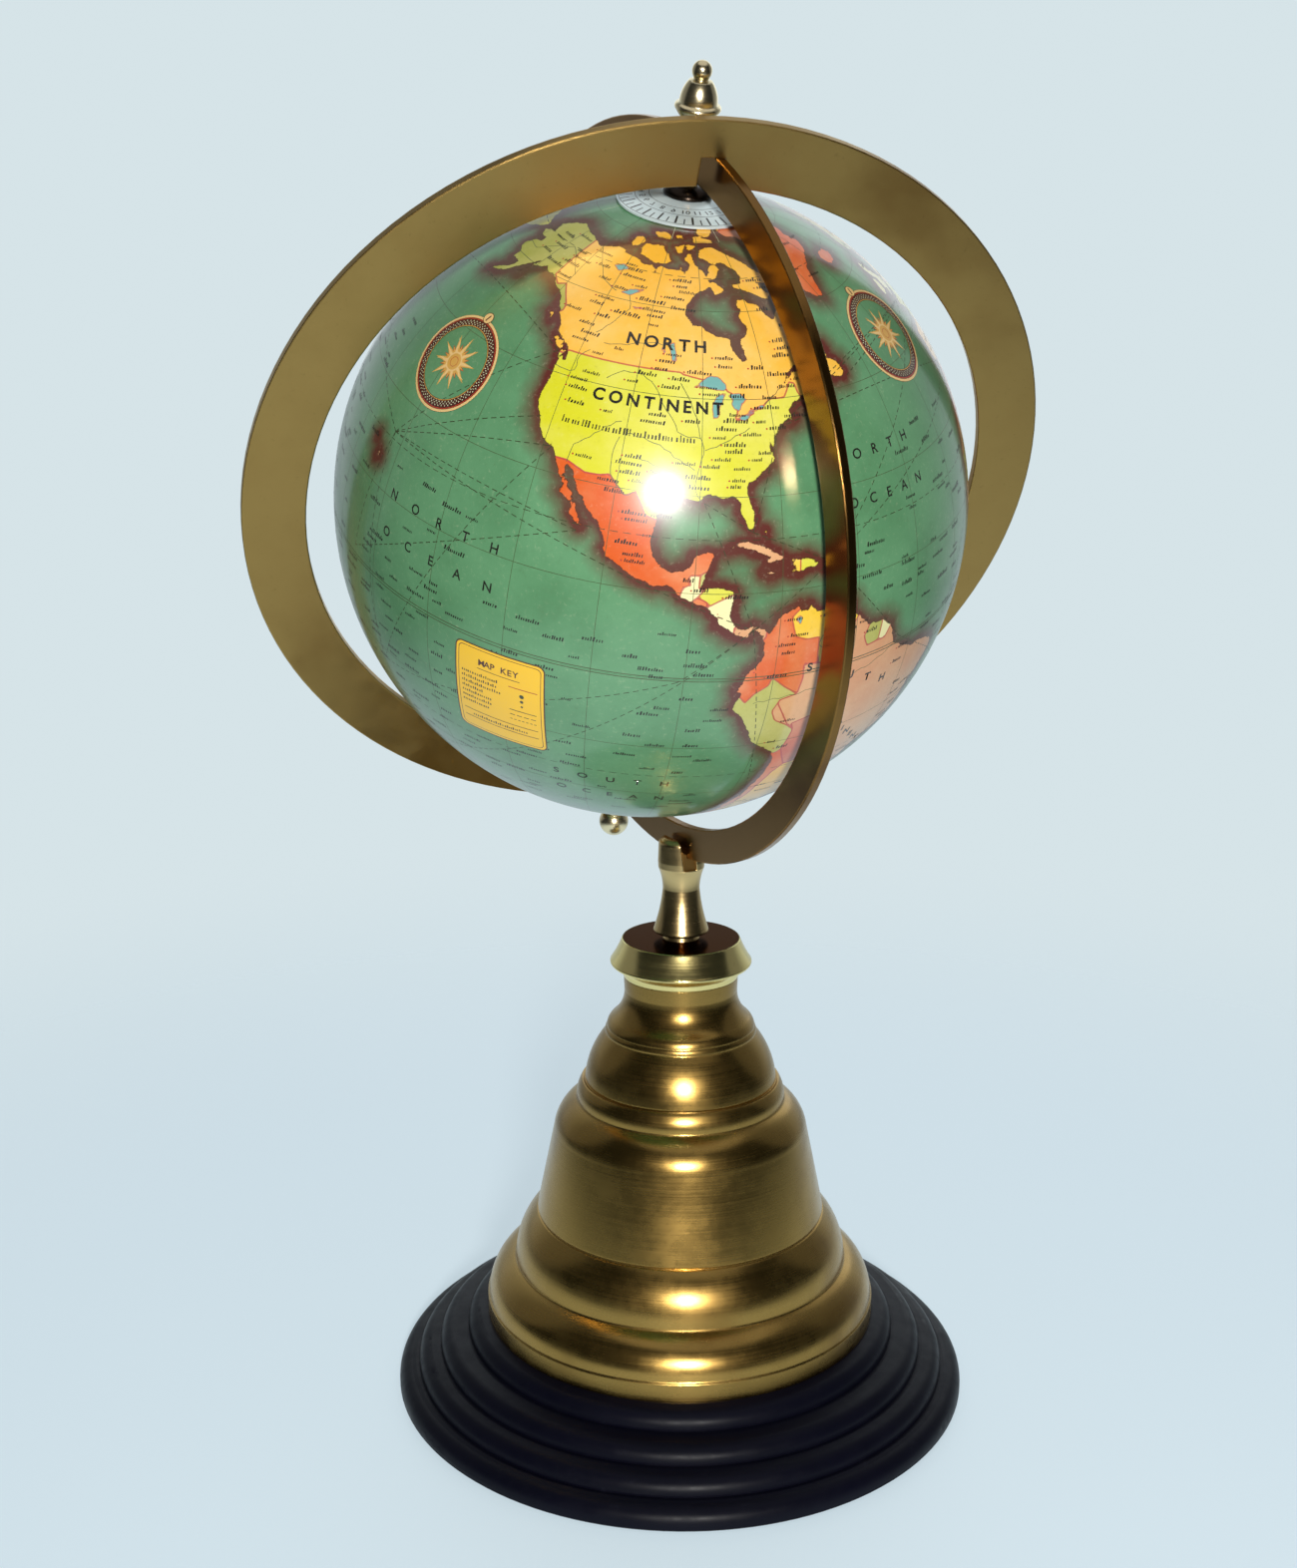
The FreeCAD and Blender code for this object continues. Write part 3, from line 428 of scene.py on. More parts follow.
celebes 119.5,-5.5 120.4,-3 122.6,-4.6 121.6,-1 124.8,1.5 120,1 118.9,-2.8
luzon 120.2,16 120.7,18.5 122.2,18.4 121.7,15.6 124,13 120.8,13.9
mindanao 122,7 125.5,5.8 126.4,8 125.3,9.7 123,8.5
visayas 122,11.8 125.6,12.3 125,10.2 122.6,9.4
new_guinea 131,-1 134,-0.9 135.2,-3.3 138,-1.7 141,-2.6 145.6,-4.6 147.8,-6.5 150.8,-10.4 146.6,-8.9
  144,-7.7 142.7,-9.2 138,-8.2 138,-5.6 133,-4 132,-2.8
new_britain 148.4,-5.8 152.2,-4.2 151.6,-5.8
australia 114,-22 113.4,-26 115.7,-32 115.1,-34.3 118,-35 124,-33 131.2,-31.5 135.4,-34.7 137.8,-32.8
  138.3,-35.5 140.4,-38 143.5,-38.8 146.4,-39.1 150,-37.4 151.3,-33.5 153.6,-28.5 153,-25 149.6,-22.3
  146.2,-18.9 145.3,-15 143.5,-14 142.5,-10.8 141.6,-15 140.8,-17.5 136,-15 136.8,-12.2 132.6,-11.4
  130.4,-12.8 129.4,-14.9 126,-14 122.2,-17.6 116.8,-20.6
tasmania 144.7,-40.7 148.3,-40.9 147.7,-43.3 146,-43.5
new_zealand_north 172.8,-34.5 175.5,-36.7 178.3,-37.8 175.2,-41.5 173.8,-39.3 174.8,-37.5
new_zealand_south 172.7,-40.6 174.3,-41.6 171,-44.6 170.4,-46 168.5,-46.6 166.5,-45.8
antarctica -180,-78 -165,-78.3 -155,-77 -145,-75.5 -125,-74 -100,-73 -80,-73.5 -68,-71 -65.4,-66
  -58,-63.2 -61,-66.5 -61,-72 -62,-75 -45,-78 -30,-77 -15,-73 0,-70 30,-69.4 50,-67 70,-68.6 75,-69.6
  90,-66.5 115,-66.5 140,-66.6 160,-70 170,-72 165,-78 180,-78 180,-90 -180,-90
""")

LAKES = outlines("""
superior -92,46.8 -90.4,47.7 -88.3,48.8 -86.3,48.6 -84.8,47.4 -84.7,46.5 -87,46.5 -89.6,46.9
michigan -87.8,41.7 -87.9,43.6 -87.1,45.4 -85,46 -85.4,45 -86.4,43.8 -86.5,42.2
huron -84.5,46 -81.6,46.1 -80.1,44.8 -81.6,44.4 -81.8,43.3 -82.5,43.1 -83.5,44 -83.4,45.2
erie -83.4,41.8 -81,42.6 -78.9,42.9 -81,41.7
ontario -79.8,43.3 -77.5,44 -76.3,44.1 -77,43.3
winnipeg -98.8,53.6 -97.2,53.8 -96.4,50.8 -97.2,50.6
manitoba -101,53.4 -99.8,52.6 -98.6,50.6
great_slave -116.8,61.2 -113,62.4 -109.4,62.7 -113,61.1
great_bear -124.6,66 -121,66.9 -117.6,66.3 -121.4,65.2
athabasca -111,59 -106.6,59.4 -110,58.6
nicaragua -85.9,11.9 -84.9,11.1 -85.4,11.3
maracaibo -71.8,10.9 -71.1,10 -71.3,9.1 -72.1,9.7
caspian 47,45.2 51.5,47 53,45.2 51,43 53.4,41 54,37 50.2,37.4 49,40.3 47.6,42.8
aral 58.5,45 61,46.5 60,43.8
baikal 104,51.6 109.8,55.7 109,53.4 106,51.9
victoria 31.8,-1 33.5,0.3 34.2,-0.9 33,-2.5 31.9,-2.4
tanganyika 29.2,-3.4 30.6,-6.4 31.1,-8.7 29.6,-6.2
ladoga 30.4,60.8 31.6,61.6 33,60.9 31.4,59.9
""")

# Tints painted over the land in this order, a blank line between the continents. They run out to
# sea so that the coast crops them.
REGIONS = outlines("""
amber -170,50 -170,85 -52,85 -50,45 -60,40 -100,40 -130,45
orange -75,77 -66,79 -60,81.6 -60,85 -5,85 -10,65 -44,58 -56,62 -60,72
green -141,72 -141,60.3 -137.6,58.9 -135,59.6 -130,56 -130,54.7 -136,54 -160,50 -176,52 -172,68 -160,73
lime -130,48.4 -123.2,48.3 -123,49 -95.2,49 -94.6,48.7 -89.6,48 -88.4,48.3 -84.8,46.8 -84.4,46.3
  -83.5,46 -82.4,45.3 -82.4,43 -83.1,42 -82.7,41.7 -78.9,42.8 -79.1,43.5 -76.8,43.6 -76.2,44.2 -74.8,45
  -71.4,45 -70.3,46 -69.2,47.4 -67.9,47.1 -67.7,45.7 -67,44.7 -60,42 -72,36 -78,24.3 -84,24.4 -97.1,25.9
  -99.2,26.5 -101.4,29.8 -103.2,29 -104.7,30.2 -106.5,31.8 -108.2,31.4 -111,31.3 -114.8,32.5 -117.1,32.5
  -122,32
orange -117.1,32.5 -114.8,32.5 -111,31.3 -108.2,31.4 -106.5,31.8 -104.7,30.2 -103.2,29 -101.4,29.8
  -99.2,26.5 -97.1,25.9 -90,26 -85,22.4 -86,18.4 -88.3,18.5 -89.1,17.9 -91,17.8 -90.5,16.1 -91.7,16.1
  -92.2,14.5 -95,12 -112,18 -122,30
cream -92.2,14.5 -91.7,16.1 -90.5,16.1 -91,17.8 -89.1,17.9 -89.2,15.9 -88.2,15.7 -89.3,14.4 -90.1,13.7
  -91.5,12.6
sage -89.1,17.9 -88.3,18.5 -87,18 -88,15.7 -89.2,15.9
lime -88.2,15.7 -87,17 -82,16.4 -83.1,15 -85.8,13.8 -87.3,13 -89.3,14.4
orange -90.1,13.7 -89.3,14.4 -87.6,13.6 -87.6,12 -90.4,12.4
cream -83.1,15 -81.8,15.4 -82.2,11.4 -83.6,10.9 -85.7,11.1 -87.2,10.6 -88,12.6 -87.3,13 -85.8,13.8
cream -85.7,11.1 -83.6,10.9 -81.6,10.2 -82.8,9.5 -82.9,8.2 -83.5,7.3 -87.2,10.2
tan -82.8,9.5 -82.9,8.2 -82.4,6.6 -78,6.2 -77.3,7.4 -77.2,8.6 -76.8,9.6 -80,10.4
tan -86,21.4 -84,24 -79,24 -73.6,20.8 -73.6,19.7 -79,19.3
yellow -75,20.4 -71.7,20.4 -71.8,17.4 -75,17.4
lime -71.7,20.4 -67.8,20.4 -67.8,17.4 -71.8,17.4
tan -53,6.4 -30,4 -30,-40 -64,-22 -74.2,-4 -70,2.4 -60,5.6
orange -77.9,6.8 -77.3,7.4 -77.2,8.6 -76.9,9.6 -75,12.4 -71.2,13 -71.4,11.8 -73,10.4 -72.4,8.3 -72,7
  -70,6.2 -67.5,6.2 -67.4,3 -66.9,1.2 -69.8,1.7 -69.5,-1 -70,-4.2 -72.6,-2.4 -75.3,-0.1 -77.5,0.4
  -79,1.5 -80.4,2.6 -79,6
orange -79,1.5 -77.5,0.4 -75.3,-0.1 -75.6,-1.6 -78,-3.2 -79.3,-4.9 -80.3,-3.5 -82.5,-3 -82.5,1.5
yellow -71.4,11.8 -71.2,13 -61,12 -59.4,8.6 -60,8 -61.3,6 -60.8,5.2 -64,4.1 -64.2,1.5 -66.9,1.2 -67.4,3
  -67.5,6.2 -70,6.2 -72,7 -72.4,8.3 -73,10.4
tan -60,8 -59.4,9 -56.6,7 -57.2,5.5 -58,4 -57,2 -59,1.3 -60,4 -60.8,5.2 -61.3,6
sage -57.2,5.5 -56.8,7 -54,7 -54,5.5 -54.5,2.3 -57,2 -58,4
cream -54,5.5 -54,7 -51,5.4 -51.7,4.2 -52.9,2.2 -54.5,2.3
sage -80.3,-3.5 -79.3,-4.9 -78,-3.2 -75.6,-1.6 -75.3,-0.1 -72.6,-2.4 -70,-4.2 -73,-5 -74,-7.3 -73,-9.5
  -70.5,-11 -68.7,-12.5 -69,-15 -69.5,-17.5 -70.4,-18.4 -73,-19 -83,-8 -83,-4
rose -69.5,-11 -65.4,-9.8 -65.2,-11.6 -60.5,-13.8 -60,-16.2 -58,-17 -58,-20 -62,-20 -62.7,-22 -67,-22.8
  -68.4,-20 -69.5,-17.5 -69,-15 -68.7,-12.5
amber -67,-22.8 -62.7,-22 -58,-27 -54,-25.6 -53.8,-27.3 -57.7,-30.2 -58.3,-34 -54,-37 -60,-57 -68.6,-56
  -68.6,-52.4 -72.2,-51.4 -72,-49 -71.8,-43 -71.2,-38 -70.2,-34 -69.8,-30 -68.5,-25
orange -70.4,-18.4 -69.5,-17.5 -68.4,-20 -67,-22.8 -68.5,-25 -69.8,-30 -70.2,-34 -71.2,-38 -71.8,-43
  -72,-49 -72.2,-51.4 -68.6,-52.4 -68.6,-57 -79,-56 -78,-40 -73,-18
sage -62.7,-22 -62,-20 -58,-20 -58,-22.3 -54.3,-24 -54.6,-25.6 -58,-27
yellow -57.7,-30.2 -53.5,-33 -52,-36 -58.6,-35.4 -58.3,-34

lime -9,28 -8.7,27.4 4.4,19.2 11.8,23.5 9.6,30.2 7.5,33.8 8.4,38 -2.2,36.4 -1.8,32.2
rose -12,26 -8.7,27.4 -9,29 -1.8,32.2 -2.2,36.4 -8,36.4 -19,26
tan 9.6,30.2 11.5,33.4 25,33.4 25,20 24,20 15,23 11.8,23.5
yellow 25,33.4 35,32 38,22 25,22
sage 24,20 25,22 38,22 39,17.6 36.5,14.3 34,9 34,4 27.5,5 24,9
orange 36.5,14.3 39,17.6 43.4,11.6 43,9 48,8 45,5 41,4 36,4.4 34,9
cream 43,11.8 52,13 52,9 42,-3 41,-1.6 41,4 45,5 48,8 43,9
amber 34,4.4 41,4 41.6,-1.8 40,-5 34,-1
lime 30.8,-1 34,-1 40,-5 42,-10.7 35,-11.5 30.6,-8.3 29.4,-4.4
yellow 12,-5.9 16.5,-5.9 18,4.6 27.5,5 31,2 29.4,-4.4 30.6,-8.3 28.4,-12 22,-11 17,-8
orange 11,-5 12,-5.9 17,-8 22,-11 22,-16.2 23.4,-17.6 10,-17.2
cream 22,-11 28.4,-12 30.6,-8.3 33.2,-10 33,-14 30.4,-15.6 25.4,-17.8 22,-16.2
amber 10,-17.2 23.4,-17.6 21,-18.4 20,-28.4 14,-29
sage 21,-18.4 25.2,-17.8 29.4,-22.2 25,-25.6 20,-26.8
rose 25.2,-17.8 30.4,-15.6 32.9,-17 32.6,-21 31.3,-22.4 29.4,-22.2
yellow 14,-29 20,-28.4 20,-26.8 25,-25.6 29.4,-22.2 31.3,-22.4 32,-26.8 36,-28 30,-37 16,-37
tan 35,-11.5 42,-10.7 43,-15 36,-28 32,-26.8 31.3,-22.4 32.6,-21 32.9,-17 33,-14
rose 42,-11 52,-11 52,-27 42,-27
cream 3.6,11.7 13.6,13.6 14.6,12 11.4,6.6 8.6,4 2.7,5 2.7,9
orange 4.4,19.2 11.8,23.5 15,23 13.6,13.6 3.6,11.7 0.4,14.6
lime 15,23 24,20 24,9 15.4,7.6 13.6,13.6
yellow -4.8,25 4.4,19.2 0.4,14.6 -5.5,10.4 -11.4,12.4 -5.6,15.4
sage -18,21.4 -13,21.4 -8.7,27.4 -4.8,25 -5.6,15.4 -12,14.8 -18,16.4

amber -12,36 -12,44 -1.8,43.4 3.4,42.4 0.6,38 -2,35.8
lime -1.8,43.4 -6,49 1.8,51 8.2,48.9 6,46.2 7.6,43.6 3.4,42.4
orange 6.8,45.9 12.4,46.8 14,45.5 20,40 16,35 8,38 7.6,43.6
yellow 3.4,51.4 7,54 10,55 14.2,54 15,51 12.4,50.2 13,48.6 8.2,48.9 6,49.4
rose 14.2,54 18,55 23,54.4 23.6,50.6 18.8,49.4 15,51
cream -12,49 -12,61 2.4,61 2.4,51.6 -1,49.6
sage 4,57.4 11.2,59 12.4,63 20,69 30,71.4 30,69.6 24,72 10,68 2,62
yellow 11.2,59 12.4,55 20,55.8 19.4,60.4 24.2,65.8 20,69 12.4,63
tan 20.6,69 24.2,65.8 19.6,60 28,60.2 31.4,62.8 29,69.4
tan 13,48.6 17,48 22.6,48 29,45.4 29.4,43.6 22.6,44.2 19,45.8 16,46.6 12.4,46.8
sage 14,45.5 19,45.8 22.6,44.2 22.4,42.2 19.4,41.2
yellow 22.6,44.2 29.4,43.6 28.4,41.6 26.2,41.4 22.4,42.2
cream 19.4,41.2 22.4,42.2 26.2,41.4 26.4,36 22,35.4 19,38

lime 28,71 28,60 23,58 23.6,50.6 22.6,48 29,45.4 40,43 48.6,41.4 50,37 54,37.4 61,35.4 71,37 74,39.6
  80,42.4 87,49 98,51 116,50 120,53 126,52.4 131,47.6 131,42.6 142,45.6 157,49 191,62 191,70 110,82
  50,82
tan 87,49 98,51 116,50 119.6,46.8 111,43 105,41.6 96,42.8
yellow 74,39.6 80,42.4 87,49 96,42.8 105,41.6 111,43 119.6,46.8 116,50 120,53 126,52.4 131,47.6
  130.6,42.6 124.4,39.8 124,30 118,22 108,21.6 102,22 98,28 88.6,27.8 81,30.2 75.6,36.4
orange 124.4,39.8 130.6,42.6 130.4,34 125.4,33.6
rose 129,30 129,34.6 139,42 147,46 147,40 141,33
orange 68,23.4 71,28 75.6,36.4 81,30.2 88.6,27.8 97,28.4 92.2,22 88.6,21 80,5 72,9
cream 61,25 61,29.6 66.4,29.8 71,34.6 74.6,37 75.6,36.4 71,28 68,23.4
rose 61,29.6 61,35.4 71,37 74.6,37 71,34.6 66.4,29.8
amber 48,29.6 44.8,37.2 45,39.6 48.6,38.8 54,37.4 61,35.4 61,25 54,25.6
sage 26,36 25.6,41 31,42.6 41.6,41.6 44.8,39.6 44.8,37.2 36,36.4
lime 38.8,34.4 42.4,37.2 44.8,37.2 48,31 48.6,29.6 46.6,29.2 39,32.2
tan 34.8,29.4 39,32.2 46.6,29.2 48.6,28.4 52,25 55.2,22.6 52,18.8 44,17.4 42,16 37,24
rose 42,16 44,17.4 52,18.8 53.2,16 45,12 42,12.4
sage 52,18.8 55.2,22.6 57.4,26.8 61,22 56,16 53.2,16
rose 92.2,22 97,28.4 98.8,27 101.2,21.4 97.4,18.4 99,12 97,9 93,16
sage 97.4,18.4 100.2,20.4 102.6,17.8 105.6,15.2 102.6,12.4 100.6,13 101.4,6 98,6 99,12
lime 101.2,21.4 102,22.4 108,21.6 106.8,19 110,15 109.6,10.6 104.6,8 106.6,11.6 107.6,14.6 102.6,19.6
cream 99.6,6.4 101.4,6 105,4 104.4,1 100.6,2.6
amber 94,6 99.4,4.6 105,0 106.8,-5 116,-6 120,2.8 126,3 132,-4 141,0 141,-10 110,-10 98,-3
yellow 119.2,14 120,19 123,19 127.4,8 125,5 119,6

rose 141,0 141,-9.6 146,-12 153,-11.6 153,-2
tan 111,-20 112,-37 148,-45 156,-30 154,-22 142,-10 128,-10
lime 170,-33 180,-36 179,-43 166,-49 164,-45
cream -180,-60 180,-60 180,-90 -180,-90
""")

RIVERS = outlines("""
mississippi -89.6,29.2 -91.2,31 -90.2,35 -89.4,37 -90.4,39 -91.2,41.8 -93,45 -95,47.2
missouri -90.3,38.8 -94.6,39.1 -96,41.4 -98,43 -100.6,46.4 -104,48 -109,47.8 -111.6,46.2
ohio -89.3,37 -86,38 -84,39 -80.2,40.4
rio_grande -97.2,26 -99.4,27.4 -101.4,29.8 -103.2,29 -104.7,30.2 -106.5,31.8 -106.8,35.4 -106,37.6
colorado -114.8,32.2 -114.4,35 -111.8,36.6 -109,38.8 -106.2,40.2
columbia -124,46.2 -121,45.7 -119,46.4 -119.8,48.4 -117.6,50.2
red_river -91.6,31.2 -94,33.4 -99,34.2 -102,35
arkansas -91.2,33.9 -94.6,35.4 -97.4,37 -101.4,38 -105,38.4
mackenzie -135,68.8 -130.4,66.4 -124.6,62.8 -118,61.2
peace -113.4,61.2 -111.4,58.8 -115,55.4 -118,53
yukon -164.6,62.6 -158.6,62.2 -151.6,65 -145,66.4 -139.4,64.2 -134.6,61.6
saskatchewan -97.2,53.2 -103,53.4 -109.8,52.2 -115,51.6
saint_lawrence -76.2,44.2 -73.6,45.6 -71.2,46.8
amazon -50,0 -54.6,-2 -60,-3.2 -65,-3.4 -70,-4.2 -74.4,-4.6 -77.8,-5
madeira -60.4,-3.2 -62.8,-7.6 -65.3,-10.4
orinoco -61.8,9 -66,7.6 -67.6,5 -65.4,2.6
parana -58.4,-34 -60.6,-31.6 -58.8,-27.4 -57.6,-22 -57.4,-17
niger -8,7.5 -4,13.6 0,16.6 3.4,12.6 6.6,5
congo 12.4,-6 17,-1.6 22,2 25.4,-2 26.6,-8
nile 31.4,31.2 31,27 33,22 30.4,19 32.6,15.6 31,9.6 31.6,3 33,0.4
zambezi 36.2,-18.6 31,-16 27,-17.6 23,-14
yangtze 121.6,31.6 116,30 111,30.4 105,28.8 100,27
yellow_river 118.8,37.6 114,34.8 110.6,35.6 110,40.4 105,37.2 102,34.4
ganges 88.6,22.2 84,25.6 78.6,28.4
indus 67.6,24.2 69,28 72,32
amur 140.8,53 136,49 127,50 119,52.6
ob 73,67.4 66.4,66 69,61 75,57.6 83,54
yenisei 84,71 87.6,66 90,60 93,54
lena 127,72 123,65 129,61.4 119,60 107,55
danube 29,45.4 22,44.6 19,47.6 13,48.6
volga 48,46 46,48.6 48,53 49,55.6 44,56.4 36,57
murray 139.2,-35.6 142,-34.2 147,-36
""")

PORTS = {name: points[0] for name, points in outlines("""
islands -153,24.6 cove -122.4,37.8 bay -118.3,33.9 sound -125,48.4 isthmus -79.6,8.8
equator_islands -91,-0.5 atoll -157,1.8 south_sea -149.5,-17.5 valley -71.7,-33 harbour -74,40.3
cape_cod -69.9,43.3 channel -6,49.4 strait -6.4,35.9 gulf -89.2,29 keys -80.4,24.6 bight -66,18.8
delta -49,1.2 elbow -35,-7.6 good_hope 18.2,-34.6 river_plate -55.5,-35.6 horn -67,-56.6 kobe 140.6,34.6
southern 174.9,-41.2 reef 153.6,-27.5 ceylon 81,5.6 spice 104.6,1 aden 45,12.2 guinea -17.8,14.6
point -110.4,22.4 banks -52.4,46.6
""")}

# Where the dashed sea routes run between.
ROUTES = """
islands-sound islands-cove islands-bay islands-isthmus islands-kobe islands-south_sea islands-atoll
islands-point sound-kobe bay-south_sea atoll-point isthmus-equator_islands equator_islands-south_sea
isthmus-valley isthmus-southern harbour-channel harbour-strait cape_cod-channel harbour-keys gulf-keys
gulf-isthmus keys-bight bight-strait isthmus-bight bight-delta delta-elbow elbow-strait
elbow-river_plate river_plate-horn horn-valley elbow-good_hope guinea-strait guinea-good_hope
good_hope-ceylon ceylon-aden ceylon-spice spice-reef reef-southern good_hope-southern channel-banks
bight-channel
""".split()

# ---------------------------------------------------------------- places on the globe
def vertices_of(name):
    """A CAD node's vertices, in metres."""
    mesh = NODES[name].data
    flat = np.empty(len(mesh.vertices) * 3)
    mesh.vertices.foreach_get("co", flat)
    return flat.reshape(-1, 3)


def unit(vectors):
    """The same directions at length 1."""
    return vectors / np.linalg.norm(vectors, axis=-1, keepdims=True)


spin = next(joint for joint in frame["record"]["behaviour"]["joints"] if joint["name"] == "globe_spin")
CENTRE = np.array(spin["pos_m"])
POLE = unit(np.array(spin["axis"]))
RADIUS = np.linalg.norm(vertices_of("globe_north") - CENTRE, axis=1).max()
RADIUS_MM = RADIUS / MM
SHELL_WALL = 1.6 * MM
HALF_SEAM = 0.05 * MM
POLE_HOLE = 4.0 * MM
DIAL_TOP = np.linalg.norm(vertices_of("hour_dial") - CENTRE, axis=1).max()

# The flat meridian ring's own normal points east, which fixes where the map's front is.
ring_points = vertices_of("meridian_ring")
ACROSS = np.linalg.svd(ring_points - ring_points.mean(axis=0), full_matrices=False)[2][2]
ACROSS = ACROSS * np.sign(ACROSS[0])
FRONT = unit(np.cross(ACROSS, POLE))
EAST = np.cross(POLE, FRONT)
FRONT_LONGITUDE = -68.5


def directions(lon, lat):
    """Unit vectors from the globe's centre for longitudes and latitudes in degrees."""
    turn = np.radians(np.asarray(lon, dtype=float) - FRONT_LONGITUDE)[..., None]
    rise = np.radians(np.asarray(lat, dtype=float))[..., None]
    return np.cos(rise) * (np.cos(turn) * FRONT + np.sin(turn) * EAST) + np.sin(rise) * POLE


# ---------------------------------------------------------------- distances to outlines
REACH = 8.0              # how far from an outline distances are told apart, in millimetres
LONGEST_EDGE = 2.5       # in degrees
SPREAD_MARGIN = 0.12     # slack round an outline's widest corner, in radians


def short_edges(corners):
    """An outline's edges in steps of a few degrees, without those that close it round a pole."""
    pieces = []
    for start, end in zip(corners, np.roll(corners, -1, axis=0)):
        on_date_line = start[0] == end[0] and abs(start[0]) == 180.0
        if on_date_line or start[1] == end[1] == -90.0:
            continue
        count = int(np.ceil(np.abs(end - start).max() / LONGEST_EDGE))
        steps = np.linspace(0.0, 1.0, count + 1)[:, None]
        points = start + (end - start) * steps
        pieces.append(np.hstack([points[:-1], points[1:]]))
    return np.vstack(pieces)


def inside(corners, lon, lat):
    """Which points lie inside an outline, also where it runs past the 180th meridian."""
    result = np.zeros(len(lon), dtype=bool)
    for shift in (0.0, 360.0):
        where = lon + shift
        odd = np.zeros(len(lon), dtype=bool)
        for (x0, y0), (x1, y1) in zip(corners, np.roll(corners, -1, axis=0)):
            if y0 == y1:
                continue
            crosses = (lat > min(y0, y1)) & (lat <= max(y0, y1))
            odd ^= crosses & (where < x0 + (lat - y0) / (y1 - y0) * (x1 - x0))
        result |= odd
    return result


def signed_distance(corners, lon, lat, points):
    """Millimetres to an outline, positive inside, no further than REACH."""
    corner_points = directions(corners[:, 0], corners[:, 1])
    middle = unit(corner_points.sum(axis=0))
    spread = np.arccos(np.clip(corner_points @ middle, -1.0, 1.0).min()) + SPREAD_MARGIN
    near = points @ middle > np.cos(min(np.pi, spread + REACH / RADIUS_MM))
    result = np.full(len(lon), -REACH)
    close = points[near] * RADIUS_MM
    squared = np.full(len(close), REACH ** 2)
    for lon0, lat0, lon1, lat1 in short_edges(corners):
        start, end = directions([lon0, lon1], [lat0, lat1]) * RADIUS_MM
        run = end - start
        offset = close - start
        share = np.clip(offset @ run / (run @ run), 0.0, 1.0)
        gap = offset - share[:, None] * run
        np.minimum(squared, np.einsum("ij,ij->i", gap, gap), out=squared)
    side = np.where(inside(corners, lon[near], lat[near]), 1.0, -1.0)
    result[near] = np.sqrt(squared) * side
    return result


def union_distance(shapes, lon, lat, points):
    """Millimetres to the nearest edge of several outlines together."""
    return np.max([signed_distance(corners, lon, lat, points) for _, corners in shapes], axis=0)


# ---------------------------------------------------------------- printed map
TINTS = {
    "lime": rgb(208, 206, 40),
    "amber": rgb(238, 178, 48),
    "green": rgb(156, 160, 36),
    "orange": rgb(212, 88, 24),
    "cream": rgb(232, 226, 168),
    "yellow": rgb(238, 194, 44),
    "sage": rgb(176, 176, 88),
    "tan": rgb(212, 150, 106),
    "rose": rgb(198, 96, 74),
}
SEA = rgb(98, 149, 108)
DEEP_SEA = rgb(82, 132, 92)
COAST_SHADE = rgb(92, 42, 36)
LAKE = rgb(112, 168, 164)
BORDER_INK = rgb(176, 60, 66)
COAST_INK = rgb(58, 30, 22)
FAR_FROM_LINES = 9.0
BORDER_FADE = 0.30
BORDER_HALF = 0.16
COAST_HALF = 0.13
VARNISH = {"Roughness": 0.3, "Specular_IOR_Level": 0.5, "Coat_Weight": 0.6, "Coat_Roughness": 0.13}


